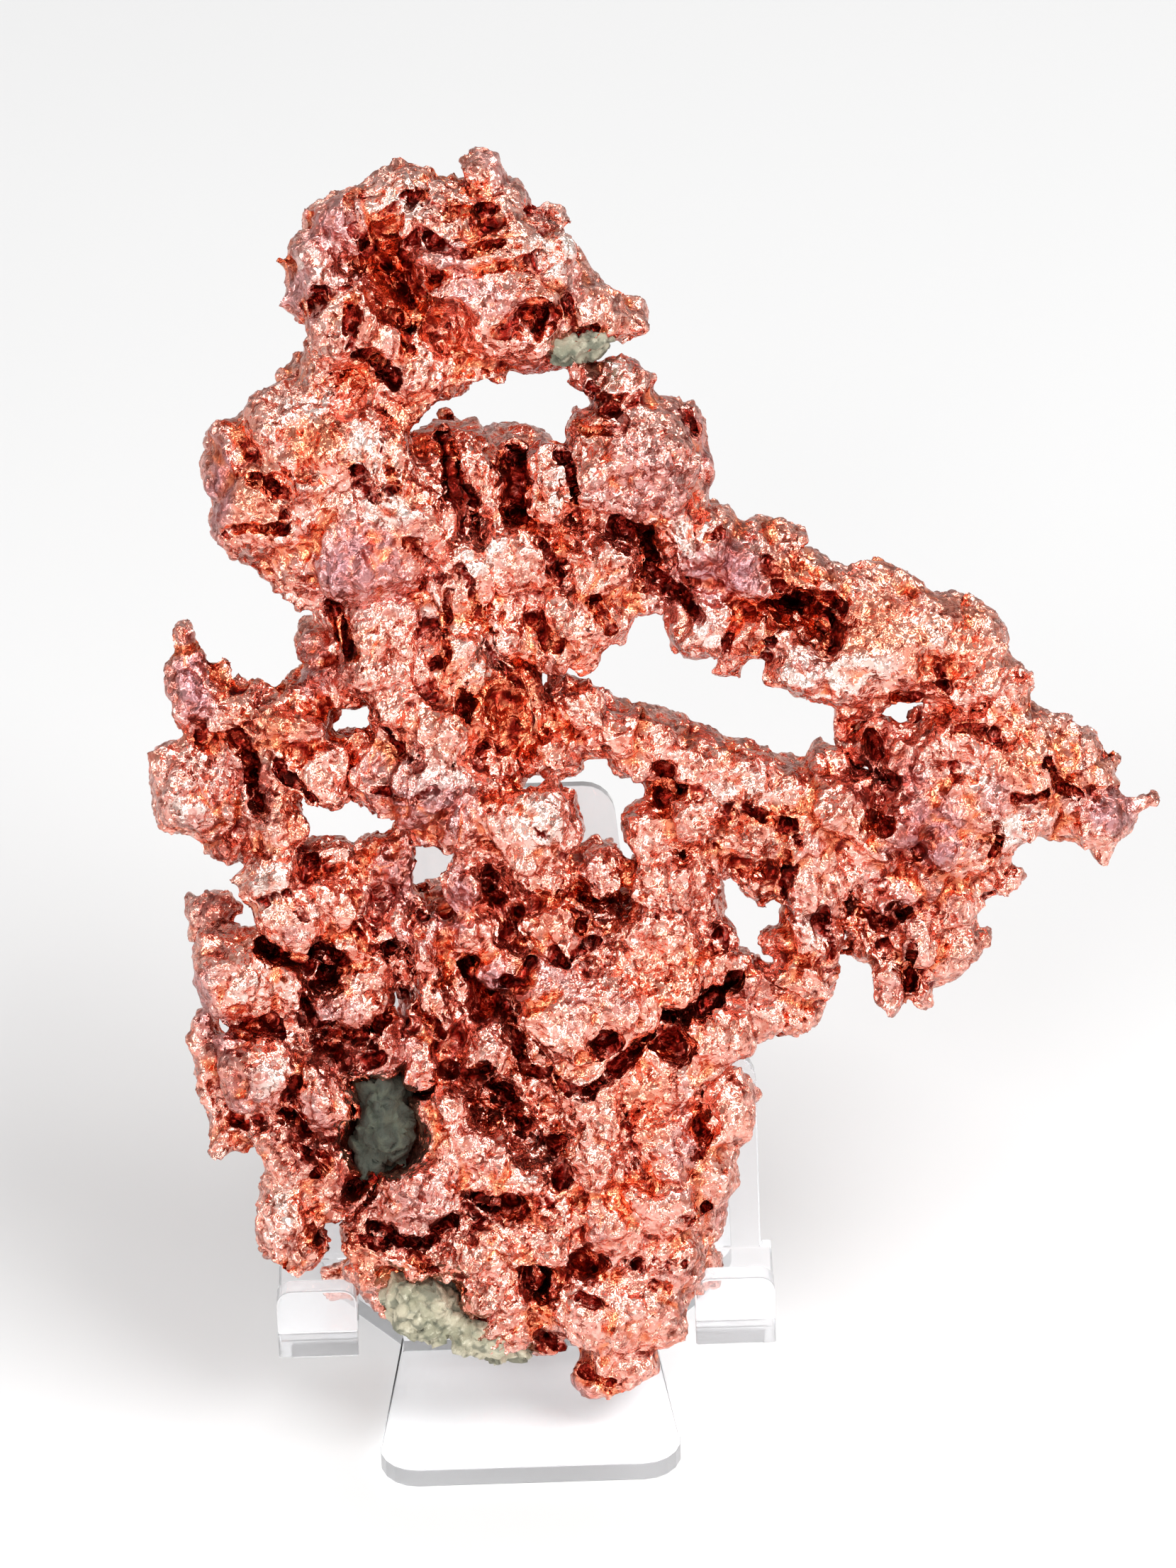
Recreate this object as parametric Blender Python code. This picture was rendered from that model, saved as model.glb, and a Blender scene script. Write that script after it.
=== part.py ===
"""Native copper specimen on a clear acrylic easel.

The copper is one grown mass, split at its main forks. It is laid out on its own leaning plane:
u runs right, v runs up the plane and w comes out of it towards the front, all in millimetres.
The world is in metres with Z up, and its origin is under the middle of the easel's base plate.
"""

import math
import random

import bmesh
import bpy
import numpy as np
from mathutils import Matrix, Vector

MM = 0.001

# Placing of the specimen on the easel, in millimetres and degrees.
LEAN = 20.0
SIDE_ROLL = 1.8
ROLL_CENTRE_V = 20.0
PLANE_FOOT_Y = -32.0
PLANE_FOOT_Z = 6.2
PLANE_SHIFT_X = 1.0
LENGTH_UP = 1.03
BACK_DEPTH = 15.2

# Making of the mass, in millimetres.
VOXEL = 0.75
NEIGHBOUR_SWELL = 0.5
EASEL_SWELL = 0.6
AREA_PER_TRIANGLE = 9.5
ROCK_AREA_PER_TRIANGLE = 6.0
SEED = 29

# The easel, in millimetres.
SHEET = 3.0
BASE_FRONT_WIDTH = 44.5
BASE_WAIST_WIDTH = 36.0
BASE_REAR_WIDTH = 60.0
BASE_DEPTH = 88.0
WAIST_DEPTH = 33.0
REAR_START = 42.0
REAR_FLARE = 6.0
BASE_CORNER = 5.5
WAIST_CORNER = 3.0
STRIP_WIDTH = 29.0
STRIP_TOP = 86.0
STRIP_FLARE = 4.0
SHOULDER_WIDTH = 68.0
SHOULDER_TOP = 46.0
SHOULDER_FOOT = 15.5
FOOT_CORNER = 1.5
BACK_FOOT = 2.6
BACK_CORNER = 4.5
HOOK_WIDTH = 11.4
HOOK_SPAN = 71.0
HOOK_LEDGE_TOP = 16.5
HOOK_LIP_TOP = 25.2
HOOK_LIP_FROM_FRONT = 13.5
HOOK_CORNER = 2.2
LEDGE_LENGTH = 21.0
BACK_FACE_W = -16.0

# Lumps of each branch: u, v, w, half width, half height, half depth, roll in degrees.
LUMPS = {
    "crown": [
        (-30.2, 162.0, 6, 4.2, 4.2, 5, 0),
        (-32.4, 157.2, 3, 3.0, 5.6, 5, 12),
        (-25.8, 166.8, 2, 6.2, 5.0, 8, 40),
        (-19.2, 169.4, 0, 7.4, 4.7, 8, 5),
        (-12.5, 167.8, 2, 7.0, 5.2, 8, -10),
        (-7.1, 172.6, -1, 3.4, 4.1, 4.5, 0),
        (-4.2, 167.8, -1, 4.2, 4.4, 6, -35),
        (-15.0, 158.5, -3, 17, 12, 10, 5),
        (-25.0, 154.4, 7, 7.6, 7.2, 6.5, 20),
        (-5.0, 156.0, 1, 11, 9, 10, -10),
        (-8.5, 163.8, 5, 10, 3.0, 6, 8),
        (5.0, 154.6, -1, 7.6, 5.6, 8, -15),
        (12.4, 152.6, -2, 4.2, 3.4, 4, 10),
        (4.0, 166.8, -2, 2.4, 1.9, 2.4, -30),
        (1.4, 164.2, 0, 3.2, 3.0, 4, 30),
        (2.6, 161.6, 3, 4.2, 4.8, 5, 0),
        (-16.0, 148.4, 0, 9, 7, 10, 0),
        (-8.5, 146.9, 2, 5.6, 3.0, 6, 12),
        (-0.8, 148.8, 0, 6.6, 3.0, 6, 5),
        (-28.6, 151.6, 1, 3.0, 3.2, 6, 30),
    ],
    "upper_trunk": [
        (-43.0, 132.0, 1, 3.0, 5.6, 5, 0),
        (-39.8, 134.8, 0, 5.6, 5.8, 7, 30),
        (-40.4, 126.0, 0, 4.6, 5.4, 6, -20),
        (-33.0, 138.0, 2, 7.4, 7.0, 8, 15),
        (-28.6, 144.4, 0, 4.8, 6.0, 7, -30),
        (-35.0, 128.5, 3, 8.8, 8.6, 8, 0),
        (-27.0, 134.5, 0, 8, 10, 11, 0),
        (-20.4, 135.2, 6, 4.8, 8.8, 7, 12),
        (-23.2, 122.0, 4, 8.8, 8.4, 9, 25),
        (-31.4, 118.8, 1, 6.0, 5.0, 8, -35),
        (-26.6, 112.8, 0, 4.6, 3.8, 7, -40),
        (-16.0, 126.5, 2, 7, 10, 10, 0),
        (-19.0, 144.4, 0, 7, 6, 9, 0),
        (-12.0, 132.2, -3, 6, 5.6, 9, 0),
    ],
    "shoulder": [
        (6.8, 146.2, 1, 2.3, 2.3, 2.4, 0),
        (12.9, 144.2, 3, 4.3, 3.8, 5, 25),
        (19.4, 140.4, 1, 2.4, 2.4, 3, 0),
        (13.6, 133.8, 4, 9.4, 9.6, 8.5, 0),
        (21.6, 136.8, 0, 3.0, 4.8, 5, -15),
        (22.0, 130.2, 0, 3.2, 6.0, 6, 0),
        (-7.3, 132.2, 5, 3.7, 5.6, 6, 5),
        (2.3, 130.6, 5, 3.7, 6.4, 6.5, 3),
        (-2.2, 129.0, -3, 8, 8, 9, 0),
        (-1.8, 121.2, 5, 6.2, 5.6, 7, 0),
        (9.8, 120.8, 4, 6.6, 6.2, 8, 20),
        (7.0, 113.4, 4, 6.8, 5.6, 8, 0),
        (15.8, 117.0, 0, 5.8, 5.0, 8, 20),
        (2.3, 108.4, 5, 4.8, 4.2, 5.5, 0),
        (7.2, 107.8, 3, 3.4, 4.0, 5, 0),
        (-5.0, 112.5, 0, 7, 8, 10, 0),
        (18.6, 124.6, 0, 5.4, 7.0, 8, 0),
        (8.8, 138.4, 0, 3.6, 3.0, 6, 0),
    ],
    "right_arm": [
        (24.6, 121.6, 0, 6.6, 6.0, 7.5, 0),
        (31.0, 118.4, 0, 7.0, 7.2, 8, -20),
        (35.4, 122.2, 1, 3.6, 2.8, 3.6, -20),
        (24.4, 112.6, 1, 6.0, 6.0, 7.5, 0),
        (32.4, 110.2, 2, 7.4, 4.2, 7, -15),
        (39.6, 115.6, 0, 7.4, 3.8, 6.5, -18),
        (41.2, 104.6, 5, 8.4, 4.6, 5, -18),
        (43.6, 109.8, -3, 7.0, 4.8, 6, -15),
        (41.0, 118.6, 0, 6.0, 1.9, 4, -28),
        (50.4, 116.4, 0, 6.4, 1.8, 4, -10),
        (60.0, 113.6, 0, 3.8, 2.2, 4, -15),
        (47.6, 113.0, 0, 7.6, 5.2, 7, -12),
        (49.0, 107.6, 3, 7.4, 6.4, 6.5, 0),
        (56.8, 110.6, 1, 7.2, 5.2, 7, -10),
        (62.2, 108.8, 1, 4.4, 4.8, 5.5, 0),
        (46.4, 101.8, 1, 4.6, 4.4, 6, -20),
        (55.0, 104.2, 0, 7.6, 4.6, 6.5, -8),
        (62.2, 103.6, 2, 5.6, 4.4, 5.5, 0),
        (28.7, 106.0, 1, 1.9, 2.4, 2.2, 0),
        (42.6, 97.4, 0, 1.6, 2.4, 2.2, 0),
    ],
    "right_wing": [
        (67.2, 101.0, 2, 3.9, 3.8, 4, 0),
        (71.2, 96.0, 1, 4.2, 4.0, 5, 0),
        (76.4, 92.6, 1, 3.6, 3.8, 4.5, 0),
        (79.2, 88.6, 0, 3.4, 3.0, 4, 0),
        (79.2, 82.9, 1, 6.4, 4.2, 5, 5),
        (84.6, 84.4, 1, 2.5, 1.9, 2.6, 10),
        (69.4, 90.8, 3, 6.0, 5.4, 6.5, 0),
        (65.0, 86.6, 4, 4.6, 4.6, 5, 0),
        (69.8, 83.6, 2, 5.8, 3.8, 5.5, 0),
        (74.8, 87.0, -1, 5.8, 5.4, 6, 0),
        (61.0, 95.0, 0, 6.8, 5.8, 7.5, 0),
        (55.0, 91.2, 0, 6.4, 5.2, 7, 0),
        (59.4, 86.0, 1, 6.6, 5.8, 7, 0),
        (53.0, 84.4, 1, 6.0, 5.4, 7, 0),
        (60.4, 79.0, 1, 5.8, 5.6, 6.5, 0),
        (66.4, 74.4, 1, 2.4, 2.6, 2.6, 0),
        (63.6, 79.0, 0, 5.0, 4.0, 5, 0),
        (60.6, 71.2, 1, 3.2, 3.0, 4.5, 0),
        (60.8, 65.6, 0, 3.2, 3.4, 4.5, 0),
        (58.6, 61.8, 0, 3.2, 2.8, 4, 20),
        (55.2, 66.4, 1, 3.8, 5.6, 5, 0),
        (53.0, 70.4, -1, 3.4, 2.6, 4, 0),
        (55.2, 58.6, 0, 2.6, 3.2, 3.5, 20),
        (50.4, 60.2, 1, 2.8, 3.9, 3.4, 5),
        (47.6, 94.0, -1, 3.4, 4.0, 5, 0),
        (46.2, 67.2, 0, 2.4, 4.4, 4, 12),
        (50.6, 73.4, 1, 5.2, 3.2, 6, 0),
        (47.6, 79.4, 0, 5.8, 6.0, 7, 0),
        (56.4, 74.8, 0, 5.0, 4.0, 6, 0),
    ],
    "middle_arm": [
        (6.0, 99.6, 3, 4.8, 4.2, 5, 0),
        (2.8, 94.2, 1, 5.8, 5.0, 6.5, 0),
        (15.0, 91.4, 1, 4.2, 3.2, 5, 0),
        (17.8, 88.8, -1, 3.6, 2.4, 4, 0),
        (11.0, 96.2, 1, 6.2, 4.8, 6.5, -15),
        (17.4, 95.0, 0, 6.6, 4.5, 6.5, -10),
        (23.6, 92.4, 1, 5.8, 4.2, 6, -20),
        (29.4, 89.6, 1, 6.4, 4.6, 6.5, -25),
        (36.0, 87.4, 0, 6.2, 4.0, 6.5, -10),
        (42.0, 89.6, 0, 3.6, 4.4, 5, 0),
        (43.4, 84.8, 2, 6.0, 5.6, 7, 0),
        (38.4, 81.6, 1, 7.0, 5.6, 7.5, 0),
        (30.8, 82.2, 1, 7.0, 5.4, 7, 0),
        (23.6, 83.8, 2, 5.6, 5.0, 6.5, 0),
        (16.6, 82.6, 3, 4.8, 3.8, 5, 0),
        (25.2, 78.6, 0, 5.6, 4.4, 6, 0),
        (31.8, 75.0, 0, 4.4, 3.0, 5, -35),
        (40.4, 75.0, 2, 5.4, 5.8, 6.5, 0),
        (39.6, 67.6, 1, 4.4, 6.0, 6, 0),
        (35.6, 66.6, 1, 2.8, 2.8, 4, 0),
        (38.8, 61.4, 2, 4.4, 4.8, 5, 0),
        (37.4, 55.8, 0, 4.0, 4.6, 5, 0),
        (41.8, 62.6, 3, 1.9, 1.9, 2.2, 0),
    ],
    "lower_trunk": [
        (-20.2, 109.0, 3, 6.8, 8.6, 8, 0),
        (-17.8, 100.4, 2, 5.6, 7.6, 9, 0),
        (-10.6, 117.6, 3, 6.4, 8.0, 9, 10),
        (-9.4, 108.6, 4, 6.4, 8.4, 9, 0),
        (-3.8, 100.4, 2, 5.8, 7.6, 9, 0),
        (-12.4, 97.2, 4, 6.6, 7.6, 9, 0),
        (-13.6, 90.2, 6, 7.6, 6.6, 7, 10),
        (-19.0, 90.6, 2, 6.8, 6.4, 8, 0),
        (-9.2, 86.6, 5, 6.6, 7.0, 7, 0),
        (-5.0, 92.6, 1, 5.0, 6.0, 8, 0),
        (-14.0, 84.6, 2, 4.0, 4.6, 6, 0),
        (-13.2, 82.4, 4, 1.4, 2.4, 2, 8),
        (-9.8, 79.9, 5, 1.4, 3.6, 2, -4),
        (1.2, 84.2, 9, 6.4, 5.8, 4, 15),
        (-5.4, 82.4, 2, 4.2, 5.6, 7, 0),
    ],
    "left_branch": [
        (-29.2, 107.8, -2, 4.4, 3.4, 6, 10),
        (-34.4, 97.6, 3, 6.6, 3.4, 6.5, -5),
        (-42.4, 103.0, 1, 1.5, 3.0, 1.6, -18),
        (-46.9, 101.4, 2, 4.2, 6.2, 4, 15),
        (-48.2, 107.4, 1, 2.0, 4.0, 2.6, 12),
        (-42.0, 97.4, 0, 6.0, 5.0, 6, 0),
        (-46.9, 87.9, 2, 7.1, 7.3, 6.5, -8),
        (-40.5, 92.4, 0, 6.0, 5.4, 7, 0),
        (-35.0, 92.8, 1, 6.0, 5.0, 7, 0),
        (-28.9, 91.0, 5, 4.6, 5.4, 5, 5),
        (-24.0, 91.2, 0, 5.2, 5.0, 7, 0),
        (-37.4, 86.6, 1, 5.0, 5.0, 7, 0),
        (-31.4, 99.2, -1, 4.2, 4.2, 7, 0),
        (-43.0, 80.2, 0, 3.4, 2.8, 4.5, 0),
        (-27.2, 102.8, 0, 5.4, 4.0, 6, 0),
    ],
    "left_body": [
        (-36.2, 83.2, 4, 4.2, 6.4, 5, 5),
        (-36.4, 76.4, 5, 4.6, 6.2, 5, 0),
        (-33.6, 70.2, 5, 6.0, 5.2, 5.5, -30),
        (-27.6, 72.4, 3, 6.0, 5.2, 6, 0),
        (-20.8, 77.4, 1.5, 4.6, 4.6, 4, 4),
        (-28.4, 78.6, 1, 4.4, 2.4, 4, 0),
        (-23.4, 79.6, 1, 2.6, 2.8, 4, 0),
        (-17.6, 76.6, 1, 1.9, 4.2, 3, 0),
        (-18.8, 62.4, 0, 2.2, 4.0, 4, 0),
        (-25.0, 66.6, 1, 6.0, 5.0, 7, 0),
        (-45.4, 68.6, -5, 4.4, 2.6, 4, 45),
        (-18.2, 69.2, 0, 4.2, 4.6, 7, 0),
        (-18.2, 79.4, 1, 2.2, 4.0, 4, 0),
        (-41.4, 61.6, 3, 7.0, 6.4, 6, 0),
        (-35.0, 61.6, 0, 5.0, 6.4, 7, 0),
        (-26.0, 57.4, 5, 6.2, 3.4, 5, 0),
        (-23.6, 61.4, 3, 4.2, 4.6, 6, 0),
        (-39.2, 48.4, 4, 6.2, 6.2, 6.5, 0),
        (-29.8, 45.6, 4, 4.8, 5.4, 6, 30),
        (-22.6, 51.6, 1, 4.8, 5.0, 7, 0),
        (-46.4, 48.2, -1, 2.2, 7.4, 4, 0),
        (-45.0, 41.2, 0, 2.3, 2.3, 2.6, 0),
        (-43.4, 38.2, 1, 2.5, 2.5, 3, 0),
        (-36.4, 38.8, 1, 4.4, 3.2, 5.5, 0),
        (-33.6, 34.2, 1, 5.8, 5.0, 6.5, 0),
        (-34.9, 26.2, 3, 5.0, 5.6, 5, 0),
        (-37.8, 33.4, 1, 2.2, 3.2, 3, 0),
        (-34.0, 22.8, 3, 5.2, 3.4, 4, 0),
        (-28.4, 32.4, 0, 5.6, 6.2, 7, 0),
        (-32.0, 54.0, -4, 9, 9, 8, 0),
        (-28.0, 40.0, -4, 6, 8, 7, 0),
    ],
    "centre": [
        (-9.6, 75.0, 5, 2.7, 3.3, 4, 0),
        (-8.4, 68.2, 5, 3.4, 3.4, 4, 0),
        (-4.6, 62.8, 5, 3.4, 3.4, 4, 0),
        (-14.2, 66.2, 3, 2.9, 5.4, 6, 0),
        (-14.0, 57.6, 3, 3.2, 5.4, 6, 0),
        (-6.6, 51.8, 5, 3.2, 5.6, 5, -32),
        (4.4, 68.8, 4, 4.6, 4.6, 5, 0),
        (1.4, 61.8, 5, 4.4, 4.2, 5, 0),
        (-16.0, 49.0, 2, 3.4, 4.4, 5, 10),
        (-9.0, 61.6, -5, 10, 12, 9, 0),
        (-8.4, 77.4, 0, 2.8, 4.4, 4, 0),
        (0.8, 75.8, -1, 6.6, 5.2, 7, 0),
        (9.4, 76.8, 1, 3.6, 3.4, 5, 0),
        (8.0, 64.6, -3, 8, 9, 8, 0),
        (-11.0, 50.4, -5, 9, 10, 9, 0),
        (19.2, 74.6, 1, 6.2, 5.4, 7, 0),
        (24.8, 71.4, 1, 2.4, 4.2, 4, 0),
        (17.6, 67.4, 2, 6.6, 5.8, 7, 0),
        (20.2, 60.4, 1, 6.6, 5.2, 7, 0),
        (27.8, 66.6, 1, 1.9, 2.0, 2, 0),
        (29.0, 62.6, 0, 4.0, 3.0, 5, 0),
        (31.0, 59.8, 0, 6.6, 3.8, 6, 0),
        (8.4, 56.8, 7, 9.0, 6.6, 3.6, 18),
        (26.0, 53.0, 3, 7.0, 4.8, 6, 20),
        (32.6, 54.8, 1, 4.0, 4.2, 5, 0),
        (19.0, 47.4, 0, 7.0, 7.6, 8, 0),
        (10.0, 47.0, 0, 8.0, 8.0, 9, 0),
        (18.4, 55.0, -4, 8.0, 8.0, 8, 0),
        (-1.0, 47.6, -4, 7.0, 8.0, 8, 0),
    ],
    "base": [
        (-12.4, 42.6, 5, 3.8, 5.0, 4, 5),
        (-8.6, 37.0, 6, 7.2, 4.0, 4, -36),
        (-1.4, 33.4, 6, 4.8, 2.5, 4, -8),
        (-15.0, 30.8, 6, 7.0, 5.4, 5, 10),
        (-19.2, 29.6, 3, 4.4, 5.0, 5, 0),
        (28.0, 42.4, 2, 4.6, 6.2, 5, 0),
        (9.4, 39.2, 5, 4.2, 10.0, 5.5, 0),
        (18.2, 38.6, 1, 6.8, 8.0, 8, 0),
        (24.8, 33.0, 0, 5.0, 6.2, 6.5, 0),
        (24.6, 27.0, -2.5, 4.6, 5.6, 5.0, 0),
        (17.6, 29.4, 2, 6.8, 6.6, 8, 0),
        (-22.4, 20.6, 2, 3.2, 5.6, 5, -10),
        (-22.0, 24.4, 0, 5.4, 5.6, 7, 0),
        (-15.0, 22.2, 3, 7.6, 4.2, 7, 0),
        (-6.2, 24.4, 4, 7.4, 5.8, 7, 0),
        (-5.0, 17.8, 4, 5.6, 4.6, 6, 0),
        (3.0, 25.6, 3, 6.6, 6.0, 7, 0),
        (11.0, 25.4, 4, 6.6, 6.0, 7, 0),
        (19.0, 21.4, 2, 6.4, 6.6, 7.5, 0),
        (8.0, 15.6, 3, 7.4, 6.0, 7.5, 0),
        (15.0, 13.4, 3, 7.2, 5.8, 7, 0),
        (20.2, 14.8, 3, 2.4, 2.5, 3, 0),
        (13.2, 6.8, 0, 5.6, 4.8, 6, 20),
        (18.4, 10.2, 0, 3.8, 2.4, 4, 30),
        (10.4, 2.6, 0, 4.2, 3.0, 3.4, 15),
        (8.8, 4.8, 1, 1.6, 2.4, 2.4, -10),
        (-3.4, 11.6, 4, 4.4, 4.2, 4, 0),
        (1.6, 8.2, 1, 2.3, 2.2, 2.4, 0),
        (1.0, 13.0, 1, 6.2, 4.6, 6, 0),
        (0.0, 30.0, -5, 15, 9, 9, 0),
        (2.0, 40.0, -5, 10, 8, 8, 0),
        (-1.0, 18.0, -7, 17, 8, 7, 0),
        (-14.0, 35.0, -7, 7, 9, 7, 0),
        (24.4, 18.4, -6, 3.0, 3.0, 4.5, 0),
        (-26.2, 15.6, -6, 4.0, 3.0, 4.5, 0),
        (-21.6, 16.6, -2, 3.2, 5.0, 5, 0),
    ],
}

# Hollows pushed into the front: u, v, half width, half height, depth.
DENTS = [
    (-11.1, 153.1, 3.6, 3.4, 5.0),
    (0.0, 154.6, 3.2, 2.8, 4.5),
    (-19.2, 159.8, 4.2, 4.0, 4.0),
    (-35.1, 132.1, 2.2, 2.2, 3.0),
    (16.5, 120.2, 2.4, 4.0, 4.5),
    (36.0, 113.6, 4.8, 2.4, 5.0),
    (-3.5, 100.0, 2.2, 5.5, 4.0),
    (-6.9, 58.9, 2.2, 3.2, 4.0),
    (-4.6, 44.7, 2.6, 2.4, 4.0),
    (-1.6, 39.0, 2.6, 2.2, 3.5),
    (10.5, 53.6, 1.8, 1.8, 4.0),
    (19.6, 52.6, 3.6, 2.0, 4.0),
    (-0.3, 18.1, 2.2, 2.0, 3.5),
    (2.6, 9.9, 2.0, 1.6, 3.0),
    (8.4, 21.5, 2.4, 2.0, 3.5),
    (-19.4, 39.6, 3.4, 5.8, 8.0),
]

# Host rock showing low in the front, and the chip of it under the crown's right end.
ROCKS = {
    "host_rock": [
        (-20.4, 41.0, 0, 4.6, 7.2, 6.5, 12),
        (-23.4, 34.0, -1, 2.6, 4.4, 5, 10),
        (-17.0, 30.0, -4, 5.4, 8.0, 6, 0),
        (-15.0, 20.0, -3, 6.0, 7.0, 6, 0),
        (-15.2, 14.2, 3, 5.2, 4.2, 6, -20),
        (-18.0, 16.8, 3.4, 3.6, 2.6, 5, -35),
        (-7.2, 10.4, 2.6, 4.6, 3.2, 6, -12),
        (-3.6, 7.8, 1, 3.4, 1.9, 4, 10),
    ],
    "crown_rock": [
        (4.6, 149.6, 2, 3.4, 2.4, 5, 4),
        (7.6, 150.2, 2, 2.8, 2.0, 4.6, 8),
    ],
}

BUILD_ORDER = [
    "base",
    "centre",
    "left_body",
    "lower_trunk",
    "left_branch",
    "upper_trunk",
    "shoulder",
    "crown",
    "middle_arm",
    "right_arm",
    "right_wing",
]

ROCK_COLOURS = {"host_rock": (0.55, 0.53, 0.42), "crown_rock": (0.50, 0.48, 0.38)}

COPPER_COLOURS = {
    "crown": (0.80, 0.47, 0.40),
    "upper_trunk": (0.78, 0.45, 0.39),
    "shoulder": (0.79, 0.46, 0.39),
    "right_arm": (0.81, 0.48, 0.40),
    "right_wing": (0.79, 0.46, 0.40),
    "middle_arm": (0.78, 0.45, 0.38),
    "lower_trunk": (0.76, 0.42, 0.36),
    "left_branch": (0.77, 0.44, 0.38),
    "left_body": (0.76, 0.43, 0.37),
    "centre": (0.76, 0.43, 0.37),
    "base": (0.74, 0.41, 0.35),
}


def clear_scene():
    """Remove every object that the file starts with."""
    for old in list(bpy.data.objects):
        bpy.data.objects.remove(old, do_unlink=True)


def principled(name, colour, metallic, roughness, transmission=0.0):
    """Make a material with one Principled shader."""
    material = bpy.data.materials.new(name)
    material.use_nodes = True
    shader = material.node_tree.nodes["Principled BSDF"]
    shader.inputs["Base Color"].default_value = (*colour, 1.0)
    shader.inputs["Metallic"].default_value = metallic
    shader.inputs["Roughness"].default_value = roughness
    shader.inputs["Transmission Weight"].default_value = transmission
    return material


def plane_to_world():
    """Matrix that carries u, v, w in millimetres to the world in metres."""
    spin = Matrix.Rotation(-math.radians(SIDE_ROLL), 4, "Z")
    about = Matrix.Translation((0.0, ROLL_CENTRE_V, 0.0))
    rolled = about @ spin @ about.inverted()
    # The plane's u, v, w axes stand upright as X, Z, -Y before it leans back.
    upright = Matrix.Rotation(math.radians(90.0), 4, "X")
    lean = Matrix.Rotation(-math.radians(LEAN), 4, "X")
    foot = Matrix.Translation((PLANE_SHIFT_X, PLANE_FOOT_Y, PLANE_FOOT_Z))
    return Matrix.Scale(MM, 4) @ foot @ lean @ upright @ rolled


def new_object(name, points, faces):
    """Link a mesh object made from points and faces."""
    mesh = bpy.data.meshes.new(name)
    mesh.from_pydata([tuple(p) for p in points], [], [tuple(f) for f in faces])
    mesh.validate()
    made = bpy.data.objects.new(name, mesh)
    bpy.context.collection.objects.link(made)
    return made


def ball_template():
    """Points and faces of a fine unit ball."""
    shape = bmesh.new()
    bmesh.ops.create_icosphere(shape, subdivisions=4, radius=1.0)
    points = np.array([v.co[:] for v in shape.verts])
    faces = np.array([[v.index for v in f.verts] for f in shape.faces])
    shape.free()
    return points, faces


def block_points(ball, lump, tilt, squareness):
    """Stretch the ball to a rounded block at the lump's place."""
    u, v, w, half_u, half_v, half_w, roll = lump
    turn = Matrix.Rotation(math.radians(tilt[0]), 3, "X") @ Matrix.Rotation(math.radians(tilt[1]), 3, "Y")
    turned = ball @ np.array(turn)
    norm = (np.abs(turned) ** squareness).sum(axis=1) ** (1.0 / squareness)
    rounded = ball / norm[:, None]
    sized = rounded * np.array([half_u, half_v, half_w])
    rolled = sized @ np.array(Matrix.Rotation(math.radians(roll), 3, "Z")).T
    return rolled + np.array([u, v, w])


def knobs_on(lump, draw):
    """Small knobs grown on a lump's front and back, clear of its outline."""
    u, v, w, half_u, half_v, half_w, roll = lump
    least = min(half_u, half_v)
    if least < 3.4:
        return []
    knobs = []
    for side in (1, 1, -1, -1):
        spot = draw.uniform(0.0, 2.0 * math.pi)
        reach = draw.uniform(0.25, 0.62)
        size = least * draw.uniform(0.30, 0.44)
        rise = math.sqrt(1.0 - reach ** 2) * half_w
        place = (u + reach * half_u * math.cos(spot), v + reach * half_v * math.sin(spot))
        knobs.append((*place, w + side * (rise - 0.3 * size), size, size * 0.9, size, roll))
    return knobs


def joined_lumps(lumps, draw):
    """Points and faces of many rounded blocks, still separate."""
    ball, ball_faces = ball_template()
    points = []
    faces = []
    for lump in lumps:
        tilt = (draw.uniform(-25.0, 25.0), draw.uniform(-25.0, 25.0))
        squareness = draw.uniform(2.0, 3.6)
        faces.append(ball_faces + len(points) * len(ball))
        points.append(block_points(ball, lump, tilt, squareness))
    points = np.vstack(points)
    points[:, 1] *= LENGTH_UP
    points[:, 2] = np.maximum(points[:, 2], -BACK_DEPTH)
    return points, np.vstack(faces)


def apply_modifiers(made):
    """Bake an object's modifiers into its mesh."""
    seen = made.evaluated_get(bpy.context.evaluated_depsgraph_get())
    baked = bpy.data.meshes.new_from_object(seen)
    made.modifiers.clear()
    made.data = baked


def mesh_points(mesh):
    """Vertex places of a mesh as an array."""
    flat = np.zeros(len(mesh.vertices) * 3)
    mesh.vertices.foreach_get("co", flat)
    return flat.reshape(-1, 3)


def mesh_triangles(mesh):
    """Triangles of a triangulated mesh as an array of vertex numbers."""
    flat = np.zeros(len(mesh.polygons) * 3, dtype=np.int64)
    mesh.polygons.foreach_get("vertices", flat)
    return flat.reshape(-1, 3)


def loose_parts(faces):
    """Number of the loose part that each triangle belongs to, joined along edges of two faces."""
    edges = np.sort(np.vstack([faces[:, [0, 1]], faces[:, [1, 2]], faces[:, [2, 0]]]), axis=1)
    owner = np.tile(np.arange(len(faces)), 3)
    number, uses = np.unique(edges, axis=0, return_inverse=True, return_counts=True)[1:]
    number = number.ravel()
    shared = np.flatnonzero(uses[number] == 2)
    shared = shared[np.argsort(number[shared], kind="stable")]
    first, second = owner[shared].reshape(-1, 2).T
    label = np.arange(len(faces))
    while True:
        low = np.minimum(label[first], label[second])
        np.minimum.at(label, first, low)
        np.minimum.at(label, second, low)
        label = label[label]
        if np.array_equal(label[first], label[second]):
            return label


def keep_part(points, faces):
    """Points and faces of some triangles, renumbered to the points they use."""
    used, number = np.unique(faces, return_inverse=True)
    return points[used], number.reshape(-1, 3)


def volume_of(points, faces):
    """Volume inside a closed triangle mesh."""
    a, b, c = (points[faces[:, i]] for i in range(3))
    return abs(np.einsum("ij,ij->i", a, np.cross(b, c)).sum()) / 6.0


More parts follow.
